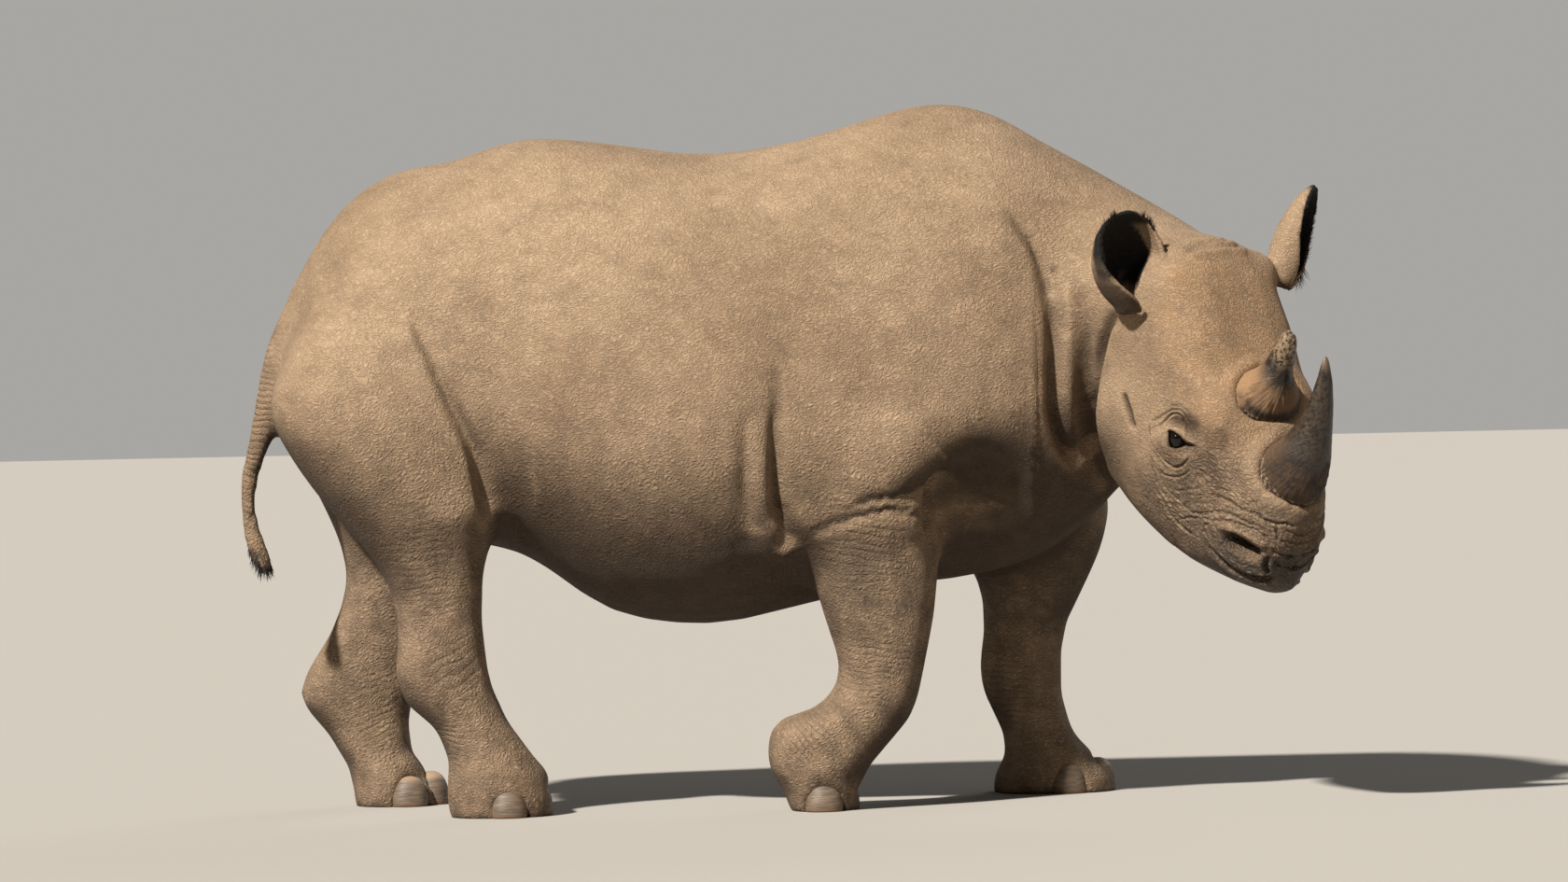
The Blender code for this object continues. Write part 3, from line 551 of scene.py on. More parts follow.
def outline_distance(outline, u, v):
    """Distance of points from a closed outline, negative inside it."""
    best = np.full(len(u), 9.0)
    inside = np.zeros(len(u), dtype=bool)
    for (ax, ay), (bx, by) in zip(outline, outline[1:] + outline[:1]):
        ex, ey = bx - ax, by - ay
        t = np.clip(((u - ax) * ex + (v - ay) * ey) / (ex * ex + ey * ey), 0, 1)
        best = np.minimum(best, np.hypot(u - ax - t * ex, v - ay - t * ey))
        crosses = (ay > v) != (by > v)
        inside ^= crosses & (u < ax + (v - ay) / (ey if ey else 1e-9) * ex)
    return np.where(inside, -best, best)


def shape_lids(side):
    """Opens the skin over the eyeball and draws it into two lids, seen square to the opening."""
    along, upward, outward = eye_axes[side]
    q = p - eye_centres[side]
    u, v, w = q @ along, q @ upward, q @ outward
    reach = np.hypot(u, v)
    near = np.nonzero((reach < 0.075) & (w > -0.06) & (w < 0.09) & (n @ outward > -0.2))[0]
    u, v, w, reach = u[near], v[near], w[near], reach[near]
    ring = reach > 0.03
    slope = np.linalg.lstsq(np.column_stack([np.ones(ring.sum()), u[ring], v[ring]]), w[ring], rcond=None)[0]
    facet = EYE_SINK + 0.45 * (slope[1] * u + slope[2] * v)
    dome = np.sqrt(np.clip((EYEBALL + LID) ** 2 - reach ** 2, 0.0, None))
    bed = np.logaddexp(facet * 350, dome * 350) / 350
    blend = ramp(reach, 0.062, 0.026)
    surface = bed * blend + w * (1 - blend)
    opening = smooth_line(EYE_OPENING + EYE_OPENING[:1], 4)[:-1]
    away = outline_distance([tuple(point) for point in opening], u, v)
    surface = surface + 0.0022 * np.exp(-((away - 0.0045) / 0.0030) ** 2)
    floor_depth = np.maximum(dome - LID - 0.008, surface - 0.016)
    inside = ramp(away, 0.0012, -0.0012)
    surface = surface * (1 - inside) + floor_depth * inside
    # painted shade round the opening between the lids, kept in the same mask
    fold_shade[near] = np.maximum(fold_shade[near], ramp(away, 0.0075, 0.0005))
    p[near] += np.outer(surface - w, outward)


for side in SIDES:
    shape_lids(side)
move_to(hide, p)
n = normals_of(hide)
tree = tree_of(p)

# folds of the lids and the bag under the eye, then the nets of the cheek and muzzle:
# width and depth in millimetres, and the line along and up the body
FACE_FOLDS = [
    (2.4, 3.6, [(0.827, 0.825), (0.830, 0.832), (0.838, 0.841), (0.850, 0.854), (0.863, 0.860),
                (0.873, 0.857), (0.882, 0.844), (0.887, 0.826), (0.890, 0.803)]),
    (2.2, 2.6, [(0.809, 0.841), (0.826, 0.850), (0.843, 0.860), (0.858, 0.868), (0.871, 0.868),
                (0.885, 0.856), (0.896, 0.836), (0.905, 0.821), (0.911, 0.803)]),
    (2.0, 2.0, [(0.811, 0.828), (0.824, 0.833), (0.834, 0.839)]),
    (2.0, 1.6, [(0.852, 0.878), (0.875, 0.877), (0.890, 0.865), (0.899, 0.849)]),
    (1.8, 1.8, [(0.835, 0.777), (0.842, 0.770), (0.855, 0.765)]),
    (2.8, 4.6, [(0.822, 0.790), (0.826, 0.776), (0.837, 0.760), (0.850, 0.748), (0.862, 0.742),
                (0.874, 0.745), (0.885, 0.754), (0.894, 0.768)]),
    (2.6, 3.4, [(0.816, 0.757), (0.820, 0.745), (0.827, 0.733), (0.840, 0.726), (0.854, 0.722),
                (0.869, 0.722), (0.884, 0.728), (0.899, 0.740)]),
    (2.2, 2.8, [(0.809, 0.838), (0.810, 0.810), (0.814, 0.792), (0.820, 0.779)]),
    (3.8, 5.5, [(0.811, 0.777), (0.813, 0.759), (0.818, 0.733), (0.824, 0.712), (0.835, 0.687),
                (0.850, 0.666), (0.862, 0.640)]),
    (4.4, 7.0, [(0.822, 0.695), (0.837, 0.669), (0.845, 0.648), (0.864, 0.624), (0.884, 0.604),
                (0.905, 0.590)]),
    (3.8, 5.5, [(0.919, 0.683), (0.950, 0.679), (0.977, 0.667), (1.000, 0.651), (1.027, 0.643),
                (1.058, 0.622), (1.099, 0.617), (1.128, 0.612)]),
    (3.6, 4.5, [(0.833, 0.710), (0.856, 0.682), (0.876, 0.662), (0.895, 0.645), (0.918, 0.642),
                (0.949, 0.646), (0.980, 0.639), (1.011, 0.622), (1.042, 0.610), (1.072, 0.583)]),
    (3.2, 4.0, [(0.915, 0.638), (0.933, 0.626), (0.957, 0.626), (0.988, 0.622), (1.019, 0.610),
                (1.050, 0.594), (1.070, 0.573)]),
    (3.0, 4.0, [(0.868, 0.624), (0.882, 0.631), (0.895, 0.633), (0.914, 0.629)]),
    (3.2, 4.5, [(0.933, 0.622), (0.920, 0.606), (0.929, 0.589)]),
    (2.6, 2.5, [(0.980, 0.667), (0.996, 0.659), (1.020, 0.667), (1.035, 0.663)]),
    (3.0, 3.5, [(1.035, 0.647), (1.047, 0.626), (1.058, 0.610), (1.066, 0.581)]),
    (3.0, 3.5, [(1.075, 0.614), (1.075, 0.593), (1.091, 0.572)]),
    (3.0, 3.5, [(1.058, 0.622), (1.079, 0.593), (1.099, 0.568), (1.116, 0.563)]),
    (4.0, 7.0, [(1.060, 0.566), (1.072, 0.556), (1.090, 0.549), (1.118, 0.545)]),
    (4.0, 7.0, [(1.064, 0.540), (1.083, 0.526), (1.108, 0.520), (1.125, 0.529)]),
    (3.0, 3.5, [(1.090, 0.605), (1.110, 0.598), (1.128, 0.591), (1.141, 0.600)]),
    (3.0, 3.5, [(1.090, 0.580), (1.110, 0.576), (1.124, 0.575), (1.137, 0.584)]),
    (2.4, 2.5, [(0.850, 0.696), (0.872, 0.690), (0.895, 0.694), (0.920, 0.700)]),
    (2.4, 2.5, [(0.875, 0.650), (0.890, 0.668), (0.915, 0.664), (0.940, 0.664)]),
    (2.4, 2.5, [(0.930, 0.700), (0.955, 0.694), (0.985, 0.690)]),
]
EYE_FOLDS = 8
for side in SIDES:
    for number, (width, depth, line) in enumerate(FACE_FOLDS):
        laid = on_cheek(line, side)
        if number < EYE_FOLDS:
            press(laid, width / 1000, np.array((0.5, 1.0, 1.0, 0.6)) * depth / 1000, lip=0.28 * depth / 1000,
                  shade_strength=0.9, wavy=0.3)
        else:
            press(laid, 0.85 * width / 1000, np.array((0.3, 0.9, 0.65, 1.0, 0.3)) * depth / 1000,
                  lip=0.16 * depth / 1000, shade_strength=1.0, wavy=0.8)
settle()
# nostril: a wide comma under a smooth rim, its groove darkened with painted shade; mouth: the long line below
# it, under the lip, darkened the same way
for side in SIDES:
    press(on_cheek([(0.948, 0.606), (0.960, 0.612), (0.985, 0.605), (1.012, 0.592), (1.036, 0.577),
                    (1.058, 0.566)], side), 0.0090, -0.007, shade_strength=0.0)
    settle()
    press(on_cheek([(0.958, 0.590), (0.972, 0.583), (0.995, 0.570), (1.018, 0.556), (1.042, 0.545)], side),
          (0.0120, 0.0140), (0.026, 0.044, 0.048, 0.040, 0.024))
    press(on_cheek([(0.925, 0.575), (0.941, 0.556), (0.968, 0.530), (0.999, 0.510), (1.035, 0.498),
                    (1.070, 0.498)], side), 0.0070, (0.006, 0.014, 0.018, 0.020), lip=0.004)
    press(on_cheek([(1.058, 0.548), (1.050, 0.528), (1.059, 0.508)], side), 0.0050, 0.010, lip=0.003)
settle()

# ---- Feet: three toes with the sole pad behind them, and flat soles ------------------------------
# The toes swell round their nails with a dip between them. The sole is level where it bears.
for foot in [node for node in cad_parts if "foot" in node]:
    nails = [centre_of(foot.replace("foot", "nail") + "_" + place) for place in ("left", "middle", "right")]
    for nail in nails:
        swell((nail.x, nail.y, 0.095), (0.045, 0.045, 0.022), 0.006)
    for one, other in zip(nails[:-1], nails[1:]):
        between = (one + other) / 2
        heart = (nails[0] + nails[2]) / 2
        outward = (between - heart).normalized()
        dip = between + outward * 0.02
        swell((dip.x, dip.y, 0.030), (0.018, 0.018, 0.050), -0.010)
settle()
low = ramp(p[:, 2], 0.045, 0.0)
p[:, 2] = np.maximum(0.0, p[:, 2] - 0.006 * low)
limits = np.array(cad_box)
p = np.clip(p, limits[0] + 0.0005 * np.array([1, 1, 0]), limits[1] - 0.0005)
move_to(hide, p)
n = normals_of(hide)


def store(thing, name, values):
    layer = thing.data.attributes.new(name, "FLOAT", "POINT")
    layer.data.foreach_set("value", np.ascontiguousarray(values, dtype=np.float32))


store(hide, "fold_shade", fold_shade)
thin_out = hide.modifiers.new("thin_out", "DECIMATE")
thin_out.ratio = HIDE_TRIANGLES / (2 * len(hide.data.polygons))
apply_all(hide)
p = points_of(hide)
p[:, 2] = np.maximum(p[:, 2], 0.0)
move_to(hide, p)
make_active(hide)
bpy.ops.object.shade_smooth()

# ---- Where the hide is netted, wrinkled, dark or dusty --------------------------------------------
# The same skin differs from place to place: fine nets low on the flanks and on the legs, wrinkles
# on the muzzle, dark moist skin round nostril and mouth with painted shade under the lips, and painted shade
# inside the ears.
p = points_of(hide)
n = normals_of(hide)
h = in_head(p)
on_head = ramp(h[:, 0], -0.03, 0.05) * ramp(p[:, 0], 0.70, 0.80) * ramp(h[:, 2], -0.60, -0.52)
low_side = 0.45 + 0.55 * ramp(p[:, 2], 1.00, 0.72)
behind_ear = ramp(p[:, 0], 0.50, 0.62) * ramp(p[:, 2], 1.30, 1.10) * 0.5
net = np.maximum(low_side, behind_ear) * (1 - on_head)
muzzle = on_head * np.clip(ramp(h[:, 0], 0.34, 0.50) * ramp(h[:, 2], -0.05, -0.14)
                           + 0.25 * ramp(h[:, 2], -0.02, -0.12), 0, 1)
face_grey = on_head * ramp(h[:, 0], 0.20, 0.42) * ramp(h[:, 2], -0.04, -0.12)
moist_and_lip_shade = on_head * np.clip(ramp(h[:, 2], -0.185, -0.225) * ramp(h[:, 0], 0.54, 0.62)
                          + ramp(h[:, 0], 0.66, 0.70) * ramp(h[:, 2], -0.12, -0.16), 0, 1)
ear_shade_and_hair = np.zeros(len(p))
ear_skin = np.zeros(len(p))
ear_band_pale_and_lit = np.zeros(len(p))
for side in SIDES:
    length, base, up, front, across = ear_frame(side)
    q = p - np.array(base)
    share = q @ np.array(up) / length
    sideways, forward = q @ np.array(across), q @ np.array(front)
    radius, wrap, hollow = ear_row(share)
    radius, wrap = radius * EARS[side][1], np.radians(wrap)
    turn = np.arctan2(sideways, -forward / hollow)
    away = np.hypot(sideways, forward / hollow)
    near = ramp(away, 0.10, 0.085) * ramp(share, 0.0, 0.10) * ramp(share, 1.15, 1.05)
    ear_skin = np.maximum(ear_skin, near)
    inner = ramp(away - radius, 0.0005, -0.0030)
    # the outer edge of each leaf shows a pale band of bare skin inside, brightened as painted light; the rest
    # is black: painted shade in the hollow, black hair at the rim and tip
    edge = (wrap - turn * (1 if side == "right" else -1)) * radius
    pale = ramp(edge, 0.066, 0.058) * ramp(share, 0.88, 0.76)
    ear_shade_and_hair = np.maximum(ear_shade_and_hair, near * inner * ramp(share, 0.14, 0.24) * (1 - pale))
    ear_band_pale_and_lit = np.maximum(ear_band_pale_and_lit, near * pale)
    rim = (wrap + turn * (1 if side == "right" else -1)) * radius
    black_rim = near * ramp(rim, 0.048, 0.032) * ramp(share, 0.38, 0.50)
    tip = near * ramp(share, 0.90, 0.99)
    ear_shade_and_hair = np.maximum(np.maximum(ear_shade_and_hair, black_rim), tip)
# wrinkles where the limbs and tail bend: middle, reach, way across the wrinkles, spacing, strength
BENDS = [
    ((-0.715, -0.22, 0.325), (0.060, 0.20, 0.065), (-0.55, 0.0, 0.83), 0.021, 1.0),
    ((-0.740, -0.22, 0.170), (0.040, 0.20, 0.060), (0.10, 0.0, 1.0), 0.013, 0.8),
    ((-0.770, -0.25, 0.560), (0.090, 0.20, 0.110), (-0.10, 0.0, 1.0), 0.016, 0.7),
    ((-0.900, 0.45, 0.230), (0.080, 0.25, 0.110), (-0.35, 0.0, 0.94), 0.015, 0.7),
    ((0.055, -0.25, 0.160), (0.060, 0.20, 0.070), (0.75, 0.0, 0.66), 0.014, 0.9),
    ((0.215, -0.25, 0.330), (0.110, 0.20, 0.110), (0.20, 0.0, 0.98), 0.014, 0.6),
    ((0.200, -0.25, 0.590), (0.110, 0.20, 0.110), (0.15, 0.0, 0.99), 0.017, 0.8),
    ((0.495, 0.40, 0.210), (0.070, 0.25, 0.110), (0.05, 0.0, 1.0), 0.014, 0.9),
    ((-1.150, 0.13, 0.850), (0.070, 0.10, 0.250), (0.15, 0.0, 0.99), 0.014, 1.0),
    ((-0.930, -0.10, 1.150), (0.050, 0.30, 0.090), (0.90, 0.0, 0.44), 0.022, 0.4),
]
bend = np.zeros(len(p))
bend_run = np.zeros(len(p))
for middle, reach, way, spacing, strength in BENDS:
    q = p - np.array(middle)
    here = strength * np.exp(-((q / np.array(reach)) ** 2).sum(axis=1))
    taken = here > bend
    bend[taken] = here[taken]
    bend_run[taken] = (q @ np.array(way) * 2 * math.pi / spacing)[taken]
crown = on_head * ramp(h[:, 2], -0.16, -0.06) * ramp(h[:, 0], 0.52, 0.36)
store(hide, "bend_run", bend_run)
store(hide, "bend", bend * (1 - ear_skin))
store(hide, "crown", crown * (1 - ear_skin))
# painted light: the cheek and the pale band inside the ears get extra dust colour, stored with the cheek
cheek_painted_light = on_head * ramp(h[:, 0], 0.44, 0.32) * ramp(h[:, 2], -0.12, -0.20) * (1 - ear_skin)
legs_and_tail_shade = ramp(p[:, 2], 0.66, 0.50) * (1 - on_head)
on_tail = 0.7 * ramp(p[:, 0], -1.09, -1.12)
store(hide, "cheek", np.maximum(cheek_painted_light, ear_band_pale_and_lit))
store(hide, "net", net * (1 - ear_skin))
store(hide, "muzzle", muzzle * (1 - ear_skin))
store(hide, "face_grey", face_grey * (1 - ear_skin))
store(hide, "moist_and_lip_shade", moist_and_lip_shade)
store(hide, "ear_shade_and_hair", ear_shade_and_hair)
store(hide, "legs_and_tail_shade", np.maximum(legs_and_tail_shade, on_tail))


# ---- The hide's material ------------------------------------------------------------------------
# Dry grey-brown skin under a coat of pale ochre dust. Creases are a net of fine cuts: the same
# group draws them at each place's own size and stretch.
def group_of(name, inputs, outputs):
    group = bpy.data.node_groups.new(name, "ShaderNodeTree")
    for label, kind, value in inputs:
        socket = group.interface.new_socket(label, in_out="INPUT", socket_type=kind)
        if value is not None:
            socket.default_value = value
    for label, kind in outputs:
        group.interface.new_socket(label, in_out="OUTPUT", socket_type=kind)
    return group, group.nodes.new("NodeGroupInput"), group.nodes.new("NodeGroupOutput")


class Wiring:
    """Adds nodes to one tree and joins them; a value that is not a socket is set on the node."""

    def __init__(self, tree):
        self.tree = tree

    def node(self, kind, settings=None, **inputs):
        made = self.tree.nodes.new(kind)
        for key, value in (settings or {}).items():
            setattr(made, key, value)
        for key, value in inputs.items():
            slot = int(key[1:]) if key[0] == "i" and key[1:].isdigit() else key.replace("_", " ")
            self.put(made.inputs[slot], value)
        return made

    def put(self, socket, value):
        if isinstance(value, bpy.types.NodeSocket):
            self.tree.links.new(value, socket)
        else:
            socket.default_value = value

    def math(self, operation, a, b=0.0, c=None):
        made = self.node("ShaderNodeMath", {"operation": operation}, i0=a, i1=b)
        if c is not None:
            self.put(made.inputs[2], c)
        return made.outputs[0]

    def times(self, a, b):
        return self.math("MULTIPLY", a, b)

    def most(self, a, b):
        return self.math("MAXIMUM", a, b)

    def roughen(self, shader, height):
        """Lets a height, given in metres, tilt the shader's normals."""
        bump = self.node("ShaderNodeBump", None, Height=height, Strength=1.0, Distance=1.0)
        self.put(shader.inputs["Normal"], bump.outputs["Normal"])

    def step(self, value, low, high, start=0.0, end=1.0):
        made = self.node("ShaderNodeMapRange", {"interpolation_type": "SMOOTHSTEP"}, Value=value,
                         From_Min=low, From_Max=high, To_Min=start, To_Max=end)
        return made.outputs[0]

    def mix(self, share, one, other, blend="MIX"):
        made = self.node("ShaderNodeMix", {"data_type": "RGBA", "blend_type": blend})
        self.put(made.inputs[0], share)
        self.put(made.inputs[6], one)
        self.put(made.inputs[7], other)
        return made.outputs[2]

    def noise(self, vector, scale, detail=4.0, rough=0.55, warp=0.0):
        made = self.node("ShaderNodeTexNoise", None, Vector=vector, Scale=scale, Detail=detail,
                         Roughness=rough, Distortion=warp)
        return made.outputs["Fac"]

    def attribute(self, name):
        made = self.node("ShaderNodeAttribute")
        made.attribute_name = name
        return made.outputs["Fac"]


def colour(red, green, blue):
    """A colour given as seen, turned into the light it stands for."""
    lit = [c / 12.92 if c <= 0.04045 else ((c + 0.055) / 1.055) ** 2.4 for c in (red, green, blue)]
    return (*lit, 1.0)


def plain_material(name):
    material = bpy.data.materials.new(name)
    material.use_nodes = True
    tree = material.node_tree
    shader = tree.nodes["Principled BSDF"]
    return material, Wiring(tree), shader


# The pattern is a web of cells: each cell is a soft pad, and the cut between two is narrow.
creases, inp, out = group_of("skin_creases", [
    ("Vector", "NodeSocketVector", None), ("Stretch", "NodeSocketVector", (50.0, 50.0, 50.0)),
    ("Turn", "NodeSocketVector", (0.0, 0.0, 0.0)), ("Width", "NodeSocketFloat", 0.12)],
    [("Height", "NodeSocketFloat"), ("Cut", "NodeSocketFloat")])
w = Wiring(creases)
turned = w.node("ShaderNodeMapping", None, Vector=inp.outputs["Vector"], Rotation=inp.outputs["Turn"])
pulled = w.node("ShaderNodeVectorMath", {"operation": "MULTIPLY"},
                i0=turned.outputs[0], i1=inp.outputs["Stretch"])
cells = w.node("ShaderNodeTexVoronoi", {"feature": "DISTANCE_TO_EDGE"}, Vector=pulled.outputs[0], Scale=1.0)
edge = cells.outputs["Distance"]
pad = w.node("ShaderNodeMapRange", {"interpolation_type": "SMOOTHSTEP"}, Value=edge,
             From_Min=0.0, From_Max=w.times(inp.outputs["Width"], 3.0), To_Min=0.0, To_Max=1.0)
cut = w.node("ShaderNodeMapRange", {"interpolation_type": "SMOOTHSTEP"}, Value=edge,
             From_Min=0.0, From_Max=inp.outputs["Width"], To_Min=1.0, To_Max=0.0)
creases.links.new(pad.outputs[0], out.inputs["Height"])
creases.links.new(cut.outputs[0], out.inputs["Cut"])


def add_creases(w, vector, stretch, turn, width):
    made = w.node("ShaderNodeGroup")
    made.node_tree = creases
    w.put(made.inputs["Vector"], vector)
    made.inputs["Stretch"].default_value = stretch
    made.inputs["Turn"].default_value = turn
    made.inputs["Width"].default_value = width
    return made.outputs["Height"], made.outputs["Cut"]


hide_material, w, shader = plain_material("dusty_hide")
spot = w.node("ShaderNodeTexCoord").outputs["Object"]
facing = w.node("ShaderNodeNewGeometry").outputs["Normal"]
upward = w.node("ShaderNodeSeparateXYZ", None, Vector=facing).outputs["Z"]
masks = {name: w.attribute(name) for name in ("fold_shade", "net", "muzzle", "face_grey", "moist_and_lip_shade",
                                              "ear_shade_and_hair", "legs_and_tail_shade", "bend", "bend_run", "crown", "cheek")}
drift = w.node("ShaderNodeTexNoise", None, Vector=spot, Scale=13.0, Detail=2.0)
sway = w.node("ShaderNodeVectorMath", {"operation": "SUBTRACT"},
              i0=drift.outputs["Color"], i1=(0.5, 0.5, 0.5))
small = w.node("ShaderNodeVectorMath", {"operation": "SCALE"}, i0=sway.outputs[0])
small.inputs["Scale"].default_value = 0.055
swayed = w.node("ShaderNodeVectorMath", {"operation": "ADD"}, i0=spot, i1=small.outputs[0]).outputs[0]
net_h, net_cut = add_creases(w, swayed, (84.0, 84.0, 140.0), (0, 0.30, 0), 0.16)
face_h, face_cut = add_creases(w, swayed, (105.0, 72.0, 62.0), (0, 0.95, 0), 0.13)
leaning = w.node("ShaderNodeMapping", None, Vector=swayed, Rotation=(0, -0.45, 0), Scale=(95.0, 120.0, 210.0))
hatch = w.math("ABSOLUTE", w.math("SUBTRACT", w.noise(leaning.outputs[0], 1.0, 1.5, 0.55), 0.5))
hatch_h, hatch_cut = w.step(hatch, 0.0, 0.10), w.step(hatch, 0.035, 0.0)
patch = w.noise(spot, 2.4, 4.0, 0.6)
patch_fine = w.noise(spot, 19.0, 3.0, 0.65)
height = w.times(hatch_h, 0.0012)
height = w.math("MULTIPLY_ADD", w.times(net_h, masks["net"]), 0.0023, height)
height = w.math("MULTIPLY_ADD", w.times(face_h, masks["muzzle"]), 0.0034, height)
run = w.math("MULTIPLY_ADD", drift.outputs["Fac"], 16.0, masks["bend_run"])
ridge = w.math("ABSOLUTE", w.math("SINE", w.times(run, 0.5)))
bent = w.times(w.math("POWER", ridge, 0.6), masks["bend"])
height = w.math("MULTIPLY_ADD", bent, 0.0040, height)
height = w.math("MULTIPLY_ADD", patch_fine, 0.0030, height)
w.roughen(shader, height)

grey = w.mix(w.step(patch_fine, 0.35, 0.7), colour(0.40, 0.330, 0.265), colour(0.50, 0.415, 0.335))
dust = w.mix(w.step(patch, 0.35, 0.68), colour(0.555, 0.460, 0.360), colour(0.635, 0.535, 0.430))
# Dust lies thicker on skin that faces up; the darkening towards the underside is also painted shade.
dust_and_painted_light = w.math("ADD", w.step(upward, -0.70, 0.40, 0.30, 1.0), w.step(patch_fine, 0.3, 0.7, -0.16, 0.12))
dust_and_painted_light = w.math("SUBTRACT", dust_and_painted_light, w.times(masks["face_grey"], 0.45))
# painted shade: the legs and tail get less dust, so they come out darker
dust_and_painted_light = w.math("SUBTRACT", dust_and_painted_light, w.times(masks["legs_and_tail_shade"], 0.45))
# painted light on the cheek and on the ears' pale band
dust_and_painted_light = w.math("ADD", dust_and_painted_light, w.times(masks["cheek"], 0.60))
dust_and_painted_light = w.most(w.math("MINIMUM", dust_and_painted_light, 1.0), 0.0)
skin = w.mix(dust_and_painted_light, grey, dust)
skin = w.mix(w.times(masks["crown"], w.step(patch_fine, 0.30, 0.65, 0.15, 0.60)), skin,
             colour(0.600, 0.468, 0.338))
# Painted shade: skin that faces down is darkened towards a near-black brown, much less on the cheek and face.
under_shade_spared = w.math("SUBTRACT", 1.0, w.times(w.most(masks["cheek"], masks["face_grey"]), 0.80))
skin = w.mix(w.times(w.step(upward, -0.02, -0.60, 0.0, 0.85), under_shade_spared), skin, colour(0.20, 0.150, 0.105))
speck = w.step(w.noise(spot, 190.0, 2.0, 0.6), 0.58, 0.72)
skin = w.mix(w.times(speck, w.times(w.step(upward, -0.45, 0.05), 0.45)), skin,
             colour(0.74, 0.655, 0.555))
# Painted shade: the cuts of the nets and hatch, the troughs of the bend wrinkles and the pressed folds darken
# the colour towards dark brown.
crease_shade = w.times(net_cut, w.times(masks["net"], 0.30))
crease_shade = w.most(crease_shade, w.times(face_cut, w.times(masks["muzzle"], 0.55)))
crease_shade = w.most(crease_shade, w.times(w.step(ridge, 0.35, 0.0), w.times(masks["bend"], 0.6)))
crease_shade = w.most(crease_shade, w.times(hatch_cut, 0.28))
crease_shade = w.most(crease_shade, w.times(masks["fold_shade"], 0.75))
skin = w.mix(crease_shade, skin, colour(0.22, 0.170, 0.125))
# Dark moist skin round nostril and mouth, darkened further under the lips as painted shade; its wetness
# lowers the roughness.
skin = w.mix(w.times(masks["moist_and_lip_shade"], 0.72), skin, colour(0.17, 0.14, 0.12))
# painted shade: the ears' hollows go nearly black, with the black of the hair at rim and tip
skin = w.mix(masks["ear_shade_and_hair"], skin, colour(0.055, 0.045, 0.038))
w.put(shader.inputs["Base Color"], skin)
w.put(shader.inputs["Roughness"], w.step(masks["moist_and_lip_shade"], 0.0, 1.0, 0.80, 0.42))
shader.inputs["Specular IOR Level"].default_value = 0.3
hide.data.materials.append(hide_material)

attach(hide, "root")
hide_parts(*FLESH, "ear_right", "ear_left")

# ---- Horns ----------------------------------------------------------------------------------------
# Solid keratin: a broad fibrous base, crusted where it meets the skin, and a smooth worn cone.
HORNS = {
    "front_horn": ((0.539, -0.070), [
        # rise, lean back, half length, half width
        (-0.028, 0.000, 0.070, 0.072), (-0.004, 0.000, 0.076, 0.078), (0.008, 0.000, 0.077, 0.079),
        (0.024, 0.001, 0.075, 0.075), (0.045, 0.004, 0.071, 0.069), (0.066, 0.010, 0.065, 0.062),
        (0.088, 0.017, 0.059, 0.055), (0.110, 0.028, 0.052, 0.047), (0.132, 0.040, 0.045, 0.040),
        (0.155, 0.055, 0.039, 0.034), (0.178, 0.072, 0.033, 0.029), (0.198, 0.090, 0.028, 0.025),
        (0.217, 0.108, 0.022, 0.020), (0.232, 0.125, 0.017, 0.015), (0.244, 0.140, 0.011, 0.010),
        (0.251, 0.149, 0.007, 0.006), (0.254, 0.153, 0.003, 0.003)]),
    "rear_horn": ((0.358, -0.050), [
        (-0.026, 0.000, 0.060, 0.078), (-0.004, 0.000, 0.065, 0.085), (0.006, 0.000, 0.066, 0.086),
        (0.018, 0.001, 0.063, 0.081), (0.030, 0.004, 0.058, 0.072), (0.042, 0.007, 0.052, 0.060),
        (0.055, 0.012, 0.045, 0.048), (0.070, 0.022, 0.038, 0.039), (0.085, 0.032, 0.033, 0.031),
        (0.102, 0.042, 0.030, 0.028), (0.120, 0.051, 0.027, 0.025), (0.136, 0.059, 0.024, 0.022),
        (0.148, 0.065, 0.020, 0.018), (0.154, 0.068, 0.014, 0.012), (0.156, 0.069, 0.006, 0.006)]),
}
HORN_AROUND = 48


def make_horn(name):
    (along, out), rows = HORNS[name]
    bpy.ops.mesh.primitive_circle_add(vertices=HORN_AROUND, radius=1.0, fill_type="NGON")
    horn = bpy.context.active_object
    horn.name = name + "_keratin"
    ring = np.array([v.co[:] for v in horn.data.vertices])
    bpy.ops.object.mode_set(mode="EDIT")
    for _ in rows[1:]:
        bpy.ops.mesh.extrude_region_move(TRANSFORM_OT_translate={"value": (0, 0, 1)})
    bpy.ops.object.mode_set(mode="OBJECT")
    q = points_of(horn)
    level = np.round(q[:, 2]).astype(int)
    rows = np.array(rows)[level]
    local = np.column_stack([along - rows[:, 1] + q[:, 0] * rows[:, 2], q[:, 1] * rows[:, 3],
                             out + rows[:, 0]])
    move_to(horn, from_head(local))
    face_outwards(horn)
    curve = horn.modifiers.new("rounding", "SUBSURF")
    curve.levels = 2
    curve.render_levels = 2
    apply_all(horn)
    bpy.ops.object.shade_smooth()
    q = in_head(points_of(horn))
    rise = q[:, 2] - out
    around = np.arctan2(q[:, 1], q[:, 0] - along)
    rough = 0.20 + ramp(rise, 0.10, 0.02) + (0.6 * ramp(rise, 0.07, 0.10) if name == "rear_horn" else 0.0)
    fibres = (np.sin(around * 31 + rise * 40) + 0.7 * np.sin(around * 47 + 1.3)
              + 0.6 * np.sin(around * 17 + rise * 30))
    ledge = np.sin(rise * 170 + 2.0 * np.sin(around * 3)) + 0.6 * np.sin(rise * 310 + np.sin(around * 5))
    lumps = np.sin(around * 9 + rise * 60) * np.sin(rise * 120 + around * 4)
    relief = rough * (0.00035 * (fibres + ledge) + 0.0011 * lumps)
    move_to(horn, points_of(horn) + normals_of(horn) * relief[:, None])
    store(horn, "rise", rise)
    store(horn, "ahead", np.cos(around))
    store(horn, "aside", np.sin(around))
    return horn


